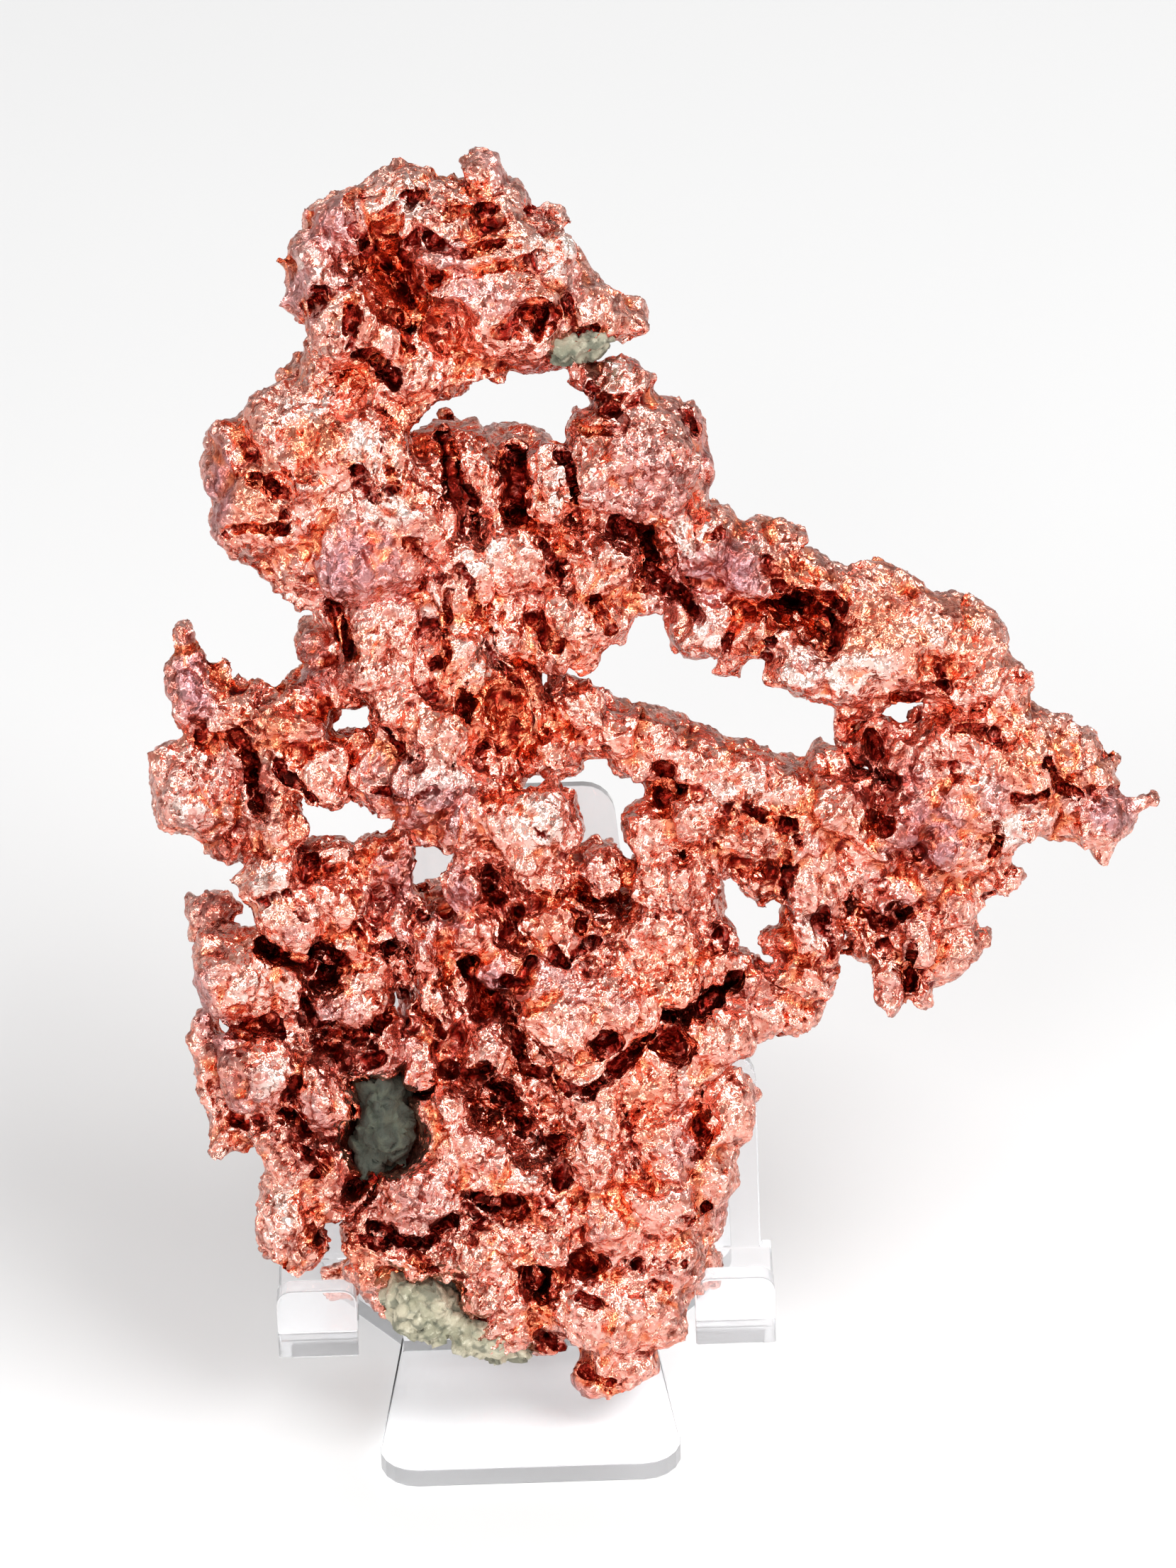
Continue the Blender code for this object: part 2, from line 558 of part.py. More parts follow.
def triangulate(made):
    """Turn an object's faces into triangles."""
    shape = bmesh.new()
    shape.from_mesh(made.data)
    bmesh.ops.triangulate(shape, faces=shape.faces)
    shape.to_mesh(made.data)
    shape.free()


def push_dents(points):
    """Press the hollows into the front of a branch."""
    for u, v, half_u, half_v, depth in DENTS:
        across = ((points[:, 0] - u) / half_u) ** 2 + ((points[:, 1] / LENGTH_UP - v) / half_v) ** 2
        fade = np.clip(1.0 - across, 0.0, 1.0) ** 0.7
        front = np.clip((points[:, 2] + 1.0) / 4.0, 0.0, 1.0)
        points[:, 2] -= depth * fade * front
    return points


def largest_part(made):
    """Keep only the largest closed part of an object's mesh."""
    triangulate(made)
    points = mesh_points(made.data)
    faces = mesh_triangles(made.data)
    label = loose_parts(faces)
    sizes = {part: volume_of(points, faces[label == part]) for part in np.unique(label)}
    points, faces = keep_part(points, faces[label == max(sizes, key=sizes.get)])
    mesh = bpy.data.meshes.new(made.name)
    mesh.from_pydata(points.tolist(), [], faces.tolist())
    made.data = mesh


def skin(name, lumps, draw, area_per_triangle, dents=False):
    """One closed skin over many lumps, thinned to a mean triangle area."""
    made = new_object(name, *joined_lumps(lumps, draw))
    remesh = made.modifiers.new("remesh", "REMESH")
    remesh.mode = "VOXEL"
    remesh.voxel_size = VOXEL
    apply_modifiers(made)
    largest_part(made)
    if dents:
        dented = push_dents(mesh_points(made.data))
        made.data.vertices.foreach_set("co", dented.ravel())
    area = sum(face.area for face in made.data.polygons)
    thin = made.modifiers.new("thin", "DECIMATE")
    thin.ratio = area / area_per_triangle / len(made.data.polygons)
    thin.use_collapse_triangulate = True
    apply_modifiers(made)
    return made


def swollen(made, swell=NEIGHBOUR_SWELL):
    """A copy of an object, a little larger all round, to trim its neighbours with."""
    copy = bpy.data.objects.new(made.name + "_swollen", made.data.copy())
    bpy.context.collection.objects.link(copy)
    copy.hide_render = True
    copy.display_type = "WIRE"
    grow = copy.modifiers.new("grow", "DISPLACE")
    grow.strength = swell
    grow.mid_level = 0.0
    apply_modifiers(copy)
    return copy


def near(first, second):
    """Whether the boxes round two objects' points meet."""
    a = mesh_points(first.data)
    b = mesh_points(second.data)
    return bool((a.min(axis=0) < b.max(axis=0)).all() and (b.min(axis=0) < a.max(axis=0)).all())


def cut_away(made, cutter):
    """Subtract a neighbour from an object."""
    cut = made.modifiers.new("cut", "BOOLEAN")
    cut.operation = "DIFFERENCE"
    cut.solver = "EXACT"
    cut.use_self = True
    cut.object = cutter
    apply_modifiers(made)


def box(name, low, high):
    """A box between two corners."""
    corners = [(x, y, z) for x in (low[0], high[0]) for y in (low[1], high[1]) for z in (low[2], high[2])]
    faces = [(0, 1, 3, 2), (4, 6, 7, 5), (0, 4, 5, 1), (2, 3, 7, 6), (0, 2, 6, 4), (1, 5, 7, 3)]
    return new_object(name, corners, faces)


def rocks():
    """The bits of host rock held in the copper, still on the plane."""
    made = []
    for name, lumps in ROCKS.items():
        rock = skin(name, lumps, random.Random(name), ROCK_AREA_PER_TRIANGLE)
        rock.data.materials.append(principled(name, ROCK_COLOURS[name], 0.0, 0.85))
        made.append(rock)
    return made


def copper_branches(draw, rock_pieces, stand):
    """One object for each branch, trimmed clear of the easel, the rocks and the branches before it."""
    cutters = [swollen(stand, EASEL_SWELL * MM)] + [swollen(rock) for rock in rock_pieces]
    cutters[0].data.transform(plane_to_world().inverted())
    made = []
    for branch in BUILD_ORDER:
        lumps = LUMPS[branch]
        knobs = [knob for lump in lumps for knob in knobs_on(lump, draw)]
        piece = skin(branch, lumps + knobs, draw, AREA_PER_TRIANGLE, dents=True)
        for cutter in cutters:
            if near(piece, cutter):
                cut_away(piece, cutter)
        largest_part(piece)
        cutters.append(swollen(piece))
        piece.data.materials.append(principled("copper_" + branch, COPPER_COLOURS[branch], 1.0, 0.42))
        made.append(piece)
    for cutter in cutters:
        bpy.data.objects.remove(cutter, do_unlink=True)
    return made


def rounded_outline(corners, steps=5):
    """Outline through corners given as x, y, radius, with an arc at each one."""
    outline = []
    for i, (x, y, radius) in enumerate(corners):
        here = Vector((x, y))
        back = (Vector(corners[i - 1][:2]) - here).normalized()
        ahead = (Vector(corners[(i + 1) % len(corners)][:2]) - here).normalized()
        if radius == 0.0:
            outline.append(here)
            continue
        half = back.angle(ahead) / 2.0
        run = radius / math.tan(half)
        centre = here + (back + ahead).normalized() * (radius / math.sin(half))
        first = here + back * run - centre
        last = here + ahead * run - centre
        sweep = first.angle_signed(last)
        for k in range(steps + 1):
            turned = first.copy()
            turned.rotate(Matrix.Rotation(-sweep * k / steps, 2))
            outline.append(centre + turned)
    return outline


def sheet(name, corners, thickness):
    """A flat sheet in XY with rounded corners, its underside at zero."""
    shape = bmesh.new()
    rim = [shape.verts.new((p.x, p.y, 0.0)) for p in rounded_outline(corners)]
    face = shape.faces.new(rim)
    raised = bmesh.ops.extrude_face_region(shape, geom=[face])["geom"]
    top = [v for v in raised if isinstance(v, bmesh.types.BMVert)]
    bmesh.ops.translate(shape, verts=top, vec=(0.0, 0.0, thickness))
    bmesh.ops.recalc_face_normals(shape, faces=shape.faces)
    mesh = bpy.data.meshes.new(name)
    shape.to_mesh(mesh)
    shape.free()
    made = bpy.data.objects.new(name, mesh)
    bpy.context.collection.objects.link(made)
    return made


def base_plate():
    """The plate that the easel stands on: a front tongue and a wider rear foot."""
    front = -BASE_DEPTH / 2
    half_front = BASE_FRONT_WIDTH / 2
    half_waist = BASE_WAIST_WIDTH / 2
    half_rear = BASE_REAR_WIDTH / 2
    right = [
        (half_front, front, BASE_CORNER),
        (half_waist, front + WAIST_DEPTH, WAIST_CORNER),
        (half_rear, front + REAR_START + REAR_FLARE, BASE_CORNER),
        (half_rear, -front, BASE_CORNER),
    ]
    left = [(-x, y, radius) for x, y, radius in reversed(right)]
    return sheet("base_plate", right + left, SHEET)


def back_sheet():
    """The leaning back: a narrow strip above wide shoulders above a narrow foot."""
    half_strip = STRIP_WIDTH / 2
    half_shoulder = SHOULDER_WIDTH / 2
    half_foot = BASE_WAIST_WIDTH / 2
    right = [
        (half_foot, BACK_FOOT, 0.0),
        (half_foot, SHOULDER_FOOT, FOOT_CORNER),
        (half_shoulder, SHOULDER_FOOT, 0.0),
        (half_shoulder, SHOULDER_TOP, BACK_CORNER),
        (half_strip + STRIP_FLARE, SHOULDER_TOP, BACK_CORNER),
        (half_strip, STRIP_TOP, BACK_CORNER),
    ]
    left = [(-x, y, radius) for x, y, radius in reversed(right)]
    made = sheet("back_sheet", right + left, -SHEET)
    upright = Matrix.Rotation(math.radians(90.0), 4, "X")
    lean = Matrix.Rotation(-math.radians(LEAN), 4, "X")
    foot_place = Matrix.Translation((0.0, PLANE_FOOT_Y, PLANE_FOOT_Z))
    behind = Matrix.Translation((0.0, 0.0, BACK_FACE_W))
    made.data.transform(foot_place @ lean @ upright @ behind)
    return made


def hook(side):
    """One hook: a ledge running forward from the shoulder, with an upright lip."""
    outer = side * HOOK_SPAN / 2
    inner = side * (HOOK_SPAN / 2 - HOOK_WIDTH)
    low_x, high_x = min(outer, inner), max(outer, inner)
    lip_front = -BASE_DEPTH / 2 + HOOK_LIP_FROM_FRONT
    ledge_end = lip_front + LEDGE_LENGTH
    ledge_low = HOOK_LEDGE_TOP - SHEET
    ledge = box("ledge", (low_x, lip_front + 0.5, ledge_low), (high_x, ledge_end, HOOK_LEDGE_TOP))
    corners = [
        (low_x, ledge_low, 0.0),
        (high_x, ledge_low, 0.0),
        (high_x, HOOK_LIP_TOP, HOOK_CORNER),
        (low_x, HOOK_LIP_TOP, HOOK_CORNER),
    ]
    lip = sheet("lip", corners, -SHEET)
    lip.data.transform(Matrix.Translation((0.0, lip_front, 0.0)) @ Matrix.Rotation(math.radians(90.0), 4, "X"))
    return [ledge, lip]


def easel():
    """The clear easel as one moulded solid."""
    body = base_plate()
    for piece in [back_sheet(), *hook(-1), *hook(1)]:
        join = body.modifiers.new("join", "BOOLEAN")
        join.operation = "UNION"
        join.solver = "EXACT"
        join.object = piece
        apply_modifiers(body)
        bpy.data.objects.remove(piece, do_unlink=True)
    body.name = "easel"
    body.data.transform(Matrix.Scale(MM, 4))
    body.data.materials.clear()
    body.data.materials.append(principled("clear_acrylic", (0.93, 0.96, 0.97), 0.0, 0.04, 1.0))
    return body


def main():
    """Build every piece, then lean the specimen back on its easel."""
    clear_scene()
    draw = random.Random(SEED)
    stand = easel()
    rock_pieces = rocks()
    place = plane_to_world()
    for piece in rock_pieces + copper_branches(draw, rock_pieces, stand):
        piece.data.transform(place)


main()
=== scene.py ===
"""Native copper specimen on a clear easel: its finished surfaces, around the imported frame.

The copper is laid out on its own leaning plane: u runs right, v up the plane and w out of it
towards the front, in millimetres. Every piece is moved to the frame's metres at the end.
"""

import math

import bmesh
import bpy
import numpy as np
from mathutils import Matrix, Vector


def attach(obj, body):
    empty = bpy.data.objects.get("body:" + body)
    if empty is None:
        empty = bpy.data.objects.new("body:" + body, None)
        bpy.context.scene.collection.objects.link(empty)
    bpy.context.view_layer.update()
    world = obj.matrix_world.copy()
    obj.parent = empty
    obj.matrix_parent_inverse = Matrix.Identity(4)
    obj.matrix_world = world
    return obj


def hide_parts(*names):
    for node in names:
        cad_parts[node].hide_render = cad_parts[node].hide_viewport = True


bl_info = {
    "name": "Native Copper Specimen",
    "version": (1, 0, 0),
    "blender": (4, 5, 0),
    "location": "3D View > Sidebar > Specimen",
    "description": "Native copper on a clear easel, built around its packed frame",
    "category": "Add Mesh",
}

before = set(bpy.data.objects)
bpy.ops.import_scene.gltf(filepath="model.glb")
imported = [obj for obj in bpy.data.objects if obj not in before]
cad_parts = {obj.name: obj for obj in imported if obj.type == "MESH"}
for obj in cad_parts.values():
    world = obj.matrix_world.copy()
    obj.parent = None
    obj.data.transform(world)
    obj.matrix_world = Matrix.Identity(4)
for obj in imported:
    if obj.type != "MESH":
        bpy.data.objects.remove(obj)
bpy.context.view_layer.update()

MM = 0.001
# The view: its height in pixels, its scale on the specimen's plane, and where it looks, u and v.
PHOTO_HEIGHT = 2212
PIXELS_PER_MM = 10.0
AIM_U = 7.95
AIM_V = 87.9
SENSOR_MM = 36.0

# Placing of the specimen on the easel, in millimetres and degrees.
LEAN = 20.0
SIDE_ROLL = 1.8
ROLL_CENTRE_V = 20.0
PLANE_FOOT = (1.0, -32.0, 6.2)
LENGTH_UP = 1.03
BACK_DEPTH = 15.2

SEED = 29

# Lumps of each branch: u, v, w, half width, half height, half depth, roll in degrees.
LUMPS = {
    "crown": [
        (-30.2, 162.0, 6, 4.2, 4.2, 5, 0),
        (-32.4, 157.2, 3, 3.0, 5.6, 5, 12),
        (-25.8, 166.8, 2, 6.2, 5.0, 8, 40),
        (-19.2, 169.4, 0, 7.4, 4.7, 8, 5),
        (-12.5, 167.8, 2, 7.0, 5.2, 8, -10),
        (-7.1, 172.6, -1, 3.4, 4.1, 4.5, 0),
        (-4.2, 167.8, -1, 4.2, 4.4, 6, -35),
        (-15.0, 158.5, -3, 17, 12, 10, 5),
        (-25.0, 154.4, 7, 7.6, 7.2, 6.5, 20),
        (-5.0, 156.0, 1, 11, 9, 10, -10),
        (-8.5, 163.8, 5, 10, 3.0, 6, 8),
        (5.0, 154.6, -1, 7.6, 5.6, 8, -15),
        (12.4, 152.6, -2, 4.2, 3.4, 4, 10),
        (4.0, 166.8, -2, 2.4, 1.9, 2.4, -30),
        (1.4, 164.2, 0, 3.2, 3.0, 4, 30),
        (2.6, 161.6, 3, 4.2, 4.8, 5, 0),
        (-16.0, 148.4, 0, 9, 7, 10, 0),
        (-8.5, 146.9, 2, 5.6, 3.0, 6, 12),
        (-0.8, 148.8, 0, 6.6, 3.0, 6, 5),
        (-28.6, 151.6, 1, 3.0, 3.2, 6, 30),
    ],
    "upper_trunk": [
        (-43.0, 132.0, 1, 3.0, 5.6, 5, 0),
        (-39.8, 134.8, 0, 5.6, 5.8, 7, 30),
        (-40.4, 126.0, 0, 4.6, 5.4, 6, -20),
        (-33.0, 138.0, 2, 7.4, 7.0, 8, 15),
        (-28.6, 144.4, 0, 4.8, 6.0, 7, -30),
        (-35.0, 128.5, 3, 8.8, 8.6, 8, 0),
        (-27.0, 134.5, 0, 8, 10, 11, 0),
        (-20.4, 135.2, 6, 4.8, 8.8, 7, 12),
        (-23.2, 122.0, 4, 8.8, 8.4, 9, 25),
        (-31.4, 118.8, 1, 6.0, 5.0, 8, -35),
        (-26.6, 112.8, 0, 4.6, 3.8, 7, -40),
        (-16.0, 126.5, 2, 7, 10, 10, 0),
        (-19.0, 144.4, 0, 7, 6, 9, 0),
        (-12.0, 132.2, -3, 6, 5.6, 9, 0),
    ],
    "shoulder": [
        (6.8, 146.2, 1, 2.3, 2.3, 2.4, 0),
        (12.9, 144.2, 3, 4.3, 3.8, 5, 25),
        (19.4, 140.4, 1, 2.4, 2.4, 3, 0),
        (13.6, 133.8, 4, 9.4, 9.6, 8.5, 0),
        (21.6, 136.8, 0, 3.0, 4.8, 5, -15),
        (22.0, 130.2, 0, 3.2, 6.0, 6, 0),
        (-7.3, 132.2, 5, 3.7, 5.6, 6, 5),
        (2.3, 130.6, 5, 3.7, 6.4, 6.5, 3),
        (-2.2, 129.0, -3, 8, 8, 9, 0),
        (-1.8, 121.2, 5, 6.2, 5.6, 7, 0),
        (9.8, 120.8, 4, 6.6, 6.2, 8, 20),
        (7.0, 113.4, 4, 6.8, 5.6, 8, 0),
        (15.8, 117.0, 0, 5.8, 5.0, 8, 20),
        (2.3, 108.4, 5, 4.8, 4.2, 5.5, 0),
        (7.2, 107.8, 3, 3.4, 4.0, 5, 0),
        (-5.0, 112.5, 0, 7, 8, 10, 0),
        (18.6, 124.6, 0, 5.4, 7.0, 8, 0),
        (8.8, 138.4, 0, 3.6, 3.0, 6, 0),
    ],
    "right_arm": [
        (24.6, 121.6, 0, 6.6, 6.0, 7.5, 0),
        (31.0, 118.4, 0, 7.0, 7.2, 8, -20),
        (35.4, 122.2, 1, 3.6, 2.8, 3.6, -20),
        (24.4, 112.6, 1, 6.0, 6.0, 7.5, 0),
        (32.4, 110.2, 2, 7.4, 4.2, 7, -15),
        (39.6, 115.6, 0, 7.4, 3.8, 6.5, -18),
        (41.2, 104.6, 5, 8.4, 4.6, 5, -18),
        (43.6, 109.8, -3, 7.0, 4.8, 6, -15),
        (41.0, 118.6, 0, 6.0, 1.9, 4, -28),
        (50.4, 116.4, 0, 6.4, 1.8, 4, -10),
        (60.0, 113.6, 0, 3.8, 2.2, 4, -15),
        (47.6, 113.0, 0, 7.6, 5.2, 7, -12),
        (49.0, 107.6, 3, 7.4, 6.4, 6.5, 0),
        (56.8, 110.6, 1, 7.2, 5.2, 7, -10),
        (62.2, 108.8, 1, 4.4, 4.8, 5.5, 0),
        (46.4, 101.8, 1, 4.6, 4.4, 6, -20),
        (55.0, 104.2, 0, 7.6, 4.6, 6.5, -8),
        (62.2, 103.6, 2, 5.6, 4.4, 5.5, 0),
        (28.7, 106.0, 1, 1.9, 2.4, 2.2, 0),
        (42.6, 97.4, 0, 1.6, 2.4, 2.2, 0),
    ],
    "right_wing": [
        (67.2, 101.0, 2, 3.9, 3.8, 4, 0),
        (71.2, 96.0, 1, 4.2, 4.0, 5, 0),
        (76.4, 92.6, 1, 3.6, 3.8, 4.5, 0),
        (79.2, 88.6, 0, 3.4, 3.0, 4, 0),
        (79.2, 82.9, 1, 6.4, 4.2, 5, 5),
        (84.6, 84.4, 1, 2.5, 1.9, 2.6, 10),
        (69.4, 90.8, 3, 6.0, 5.4, 6.5, 0),
        (65.0, 86.6, 4, 4.6, 4.6, 5, 0),
        (69.8, 83.6, 2, 5.8, 3.8, 5.5, 0),
        (74.8, 87.0, -1, 5.8, 5.4, 6, 0),
        (61.0, 95.0, 0, 6.8, 5.8, 7.5, 0),
        (55.0, 91.2, 0, 6.4, 5.2, 7, 0),
        (59.4, 86.0, 1, 6.6, 5.8, 7, 0),
        (53.0, 84.4, 1, 6.0, 5.4, 7, 0),
        (60.4, 79.0, 1, 5.8, 5.6, 6.5, 0),
        (66.4, 74.4, 1, 2.4, 2.6, 2.6, 0),
        (63.6, 79.0, 0, 5.0, 4.0, 5, 0),
        (60.6, 71.2, 1, 3.2, 3.0, 4.5, 0),
        (60.8, 65.6, 0, 3.2, 3.4, 4.5, 0),
        (58.6, 61.8, 0, 3.2, 2.8, 4, 20),
        (55.2, 66.4, 1, 3.8, 5.6, 5, 0),
        (53.0, 70.4, -1, 3.4, 2.6, 4, 0),
        (55.2, 58.6, 0, 2.6, 3.2, 3.5, 20),
        (50.4, 60.2, 1, 2.8, 3.9, 3.4, 5),
        (47.6, 94.0, -1, 3.4, 4.0, 5, 0),
        (46.2, 67.2, 0, 2.4, 4.4, 4, 12),
        (50.6, 73.4, 1, 5.2, 3.2, 6, 0),
        (47.6, 79.4, 0, 5.8, 6.0, 7, 0),
        (56.4, 74.8, 0, 5.0, 4.0, 6, 0),
    ],
    "middle_arm": [
        (6.0, 99.6, 3, 4.8, 4.2, 5, 0),
        (2.8, 94.2, 1, 5.8, 5.0, 6.5, 0),
        (15.0, 91.4, 1, 4.2, 3.2, 5, 0),
        (17.8, 88.8, -1, 3.6, 2.4, 4, 0),
        (11.0, 96.2, 1, 6.2, 4.8, 6.5, -15),
        (17.4, 95.0, 0, 6.6, 4.5, 6.5, -10),
        (23.6, 92.4, 1, 5.8, 4.2, 6, -20),
        (29.4, 89.6, 1, 6.4, 4.6, 6.5, -25),
        (36.0, 87.4, 0, 6.2, 4.0, 6.5, -10),
        (42.0, 89.6, 0, 3.6, 4.4, 5, 0),
        (43.4, 84.8, 2, 6.0, 5.6, 7, 0),
        (38.4, 81.6, 1, 7.0, 5.6, 7.5, 0),
        (30.8, 82.2, 1, 7.0, 5.4, 7, 0),
        (23.6, 83.8, 2, 5.6, 5.0, 6.5, 0),
        (16.6, 82.6, 3, 4.8, 3.8, 5, 0),
        (25.2, 78.6, 0, 5.6, 4.4, 6, 0),
        (31.8, 75.0, 0, 4.4, 3.0, 5, -35),
        (40.4, 75.0, 2, 5.4, 5.8, 6.5, 0),
        (39.6, 67.6, 1, 4.4, 6.0, 6, 0),
        (35.6, 66.6, 1, 2.8, 2.8, 4, 0),
        (38.8, 61.4, 2, 4.4, 4.8, 5, 0),
        (37.4, 55.8, 0, 4.0, 4.6, 5, 0),
        (41.8, 62.6, 3, 1.9, 1.9, 2.2, 0),
    ],
    "lower_trunk": [
        (-20.2, 109.0, 3, 6.8, 8.6, 8, 0),
        (-17.8, 100.4, 2, 5.6, 7.6, 9, 0),
        (-10.6, 117.6, 3, 6.4, 8.0, 9, 10),
        (-9.4, 108.6, 4, 6.4, 8.4, 9, 0),
        (-3.8, 100.4, 2, 5.8, 7.6, 9, 0),
        (-12.4, 97.2, 4, 6.6, 7.6, 9, 0),
        (-13.6, 90.2, 6, 7.6, 6.6, 7, 10),
        (-19.0, 90.6, 2, 6.8, 6.4, 8, 0),
        (-9.2, 86.6, 5, 6.6, 7.0, 7, 0),
        (-5.0, 92.6, 1, 5.0, 6.0, 8, 0),
        (-14.0, 84.6, 2, 4.0, 4.6, 6, 0),
        (-13.2, 82.4, 4, 1.4, 2.4, 2, 8),
        (-9.8, 79.9, 5, 1.4, 3.6, 2, -4),
        (1.2, 84.2, 9, 6.4, 5.8, 4, 15),
        (-5.4, 82.4, 2, 4.2, 5.6, 7, 0),
    ],
    "left_branch": [
        (-29.2, 107.8, -2, 4.4, 3.4, 6, 10),
        (-34.4, 97.6, 3, 6.6, 3.4, 6.5, -5),
        (-42.4, 103.0, 1, 1.5, 3.0, 1.6, -18),
        (-46.9, 101.4, 2, 4.2, 6.2, 4, 15),
        (-48.2, 107.4, 1, 2.0, 4.0, 2.6, 12),
        (-42.0, 97.4, 0, 6.0, 5.0, 6, 0),
        (-46.9, 87.9, 2, 7.1, 7.3, 6.5, -8),
        (-40.5, 92.4, 0, 6.0, 5.4, 7, 0),
        (-35.0, 92.8, 1, 6.0, 5.0, 7, 0),
        (-28.9, 91.0, 5, 4.6, 5.4, 5, 5),
        (-24.0, 91.2, 0, 5.2, 5.0, 7, 0),
        (-37.4, 86.6, 1, 5.0, 5.0, 7, 0),
        (-31.4, 99.2, -1, 4.2, 4.2, 7, 0),
        (-43.0, 80.2, 0, 3.4, 2.8, 4.5, 0),
        (-27.2, 102.8, 0, 5.4, 4.0, 6, 0),
    ],
    "left_body": [
        (-36.2, 83.2, 4, 4.2, 6.4, 5, 5),
        (-36.4, 76.4, 5, 4.6, 6.2, 5, 0),
        (-33.6, 70.2, 5, 6.0, 5.2, 5.5, -30),
        (-27.6, 72.4, 3, 6.0, 5.2, 6, 0),
        (-20.8, 77.4, 1.5, 4.6, 4.6, 4, 4),
        (-28.4, 78.6, 1, 4.4, 2.4, 4, 0),
        (-23.4, 79.6, 1, 2.6, 2.8, 4, 0),
        (-17.6, 76.6, 1, 1.9, 4.2, 3, 0),
        (-18.8, 62.4, 0, 2.2, 4.0, 4, 0),
        (-25.0, 66.6, 1, 6.0, 5.0, 7, 0),
        (-45.4, 68.6, -5, 4.4, 2.6, 4, 45),
        (-18.2, 69.2, 0, 4.2, 4.6, 7, 0),
        (-18.2, 79.4, 1, 2.2, 4.0, 4, 0),
        (-41.4, 61.6, 3, 7.0, 6.4, 6, 0),
        (-35.0, 61.6, 0, 5.0, 6.4, 7, 0),
        (-26.0, 57.4, 5, 6.2, 3.4, 5, 0),
        (-23.6, 61.4, 3, 4.2, 4.6, 6, 0),
        (-39.2, 48.4, 4, 6.2, 6.2, 6.5, 0),
        (-29.8, 45.6, 4, 4.8, 5.4, 6, 30),
        (-22.6, 51.6, 1, 4.8, 5.0, 7, 0),
        (-46.4, 48.2, -1, 2.2, 7.4, 4, 0),
        (-45.0, 41.2, 0, 2.3, 2.3, 2.6, 0),
        (-43.4, 38.2, 1, 2.5, 2.5, 3, 0),
        (-36.4, 38.8, 1, 4.4, 3.2, 5.5, 0),
        (-33.6, 34.2, 1, 5.8, 5.0, 6.5, 0),
        (-34.9, 26.2, 3, 5.0, 5.6, 5, 0),
        (-37.8, 33.4, 1, 2.2, 3.2, 3, 0),
        (-34.0, 22.8, 3, 5.2, 3.4, 4, 0),
        (-28.4, 32.4, 0, 5.6, 6.2, 7, 0),
        (-32.0, 54.0, -4, 9, 9, 8, 0),
        (-28.0, 40.0, -4, 6, 8, 7, 0),
    ],
    "centre": [
        (-9.6, 75.0, 5, 2.7, 3.3, 4, 0),
        (-8.4, 68.2, 5, 3.4, 3.4, 4, 0),
        (-4.6, 62.8, 5, 3.4, 3.4, 4, 0),
        (-14.2, 66.2, 3, 2.9, 5.4, 6, 0),
        (-14.0, 57.6, 3, 3.2, 5.4, 6, 0),
        (-6.6, 51.8, 5, 3.2, 5.6, 5, -32),
        (4.4, 68.8, 4, 4.6, 4.6, 5, 0),
        (1.4, 61.8, 5, 4.4, 4.2, 5, 0),
        (-16.0, 49.0, 2, 3.4, 4.4, 5, 10),
        (-9.0, 61.6, -5, 10, 12, 9, 0),
        (-8.4, 77.4, 0, 2.8, 4.4, 4, 0),
        (0.8, 75.8, -1, 6.6, 5.2, 7, 0),
        (9.4, 76.8, 1, 3.6, 3.4, 5, 0),
        (8.0, 64.6, -3, 8, 9, 8, 0),
        (-11.0, 50.4, -5, 9, 10, 9, 0),
        (19.2, 74.6, 1, 6.2, 5.4, 7, 0),
        (24.8, 71.4, 1, 2.4, 4.2, 4, 0),
        (17.6, 67.4, 2, 6.6, 5.8, 7, 0),
        (20.2, 60.4, 1, 6.6, 5.2, 7, 0),
        (27.8, 66.6, 1, 1.9, 2.0, 2, 0),
        (29.0, 62.6, 0, 4.0, 3.0, 5, 0),
        (31.0, 59.8, 0, 6.6, 3.8, 6, 0),
        (8.4, 56.8, 7, 9.0, 6.6, 3.6, 18),
        (26.0, 53.0, 3, 7.0, 4.8, 6, 20),
        (32.6, 54.8, 1, 4.0, 4.2, 5, 0),
        (19.0, 47.4, 0, 7.0, 7.6, 8, 0),
        (10.0, 47.0, 0, 8.0, 8.0, 9, 0),
        (18.4, 55.0, -4, 8.0, 8.0, 8, 0),
        (-1.0, 47.6, -4, 7.0, 8.0, 8, 0),
    ],
    "base": [
        (-12.4, 42.6, 5, 3.8, 5.0, 4, 5),
        (-15.6, 40.0, 4.4, 3.2, 5.6, 3.6, -12),
        (-8.6, 37.0, 6, 7.2, 4.0, 4, -36),
        (-1.4, 33.4, 6, 4.8, 2.5, 4, -8),
        (-15.0, 30.8, 6, 7.0, 5.4, 5, 10),
        (-19.2, 29.6, 3, 4.4, 5.0, 5, 0),
        (28.0, 42.4, 2, 4.6, 6.2, 5, 0),
        (9.4, 39.2, 5, 4.2, 10.0, 5.5, 0),
        (18.2, 38.6, 1, 6.8, 8.0, 8, 0),
        (24.8, 33.0, 0, 5.0, 6.2, 6.5, 0),
        (24.6, 27.0, -2.5, 4.6, 5.6, 5.0, 0),
        (17.6, 29.4, 2, 6.8, 6.6, 8, 0),
        (-22.4, 20.6, 2, 3.2, 5.6, 5, -10),
        (-22.0, 24.4, 0, 5.4, 5.6, 7, 0),
        (-15.0, 22.2, 3, 7.6, 4.2, 7, 0),
        (-6.2, 24.4, 4, 7.4, 5.8, 7, 0),
        (-5.0, 17.8, 4, 5.6, 4.6, 6, 0),
        (3.0, 25.6, 3, 6.6, 6.0, 7, 0),
        (11.0, 25.4, 4, 6.6, 6.0, 7, 0),
        (19.0, 21.4, 2, 6.4, 6.6, 7.5, 0),
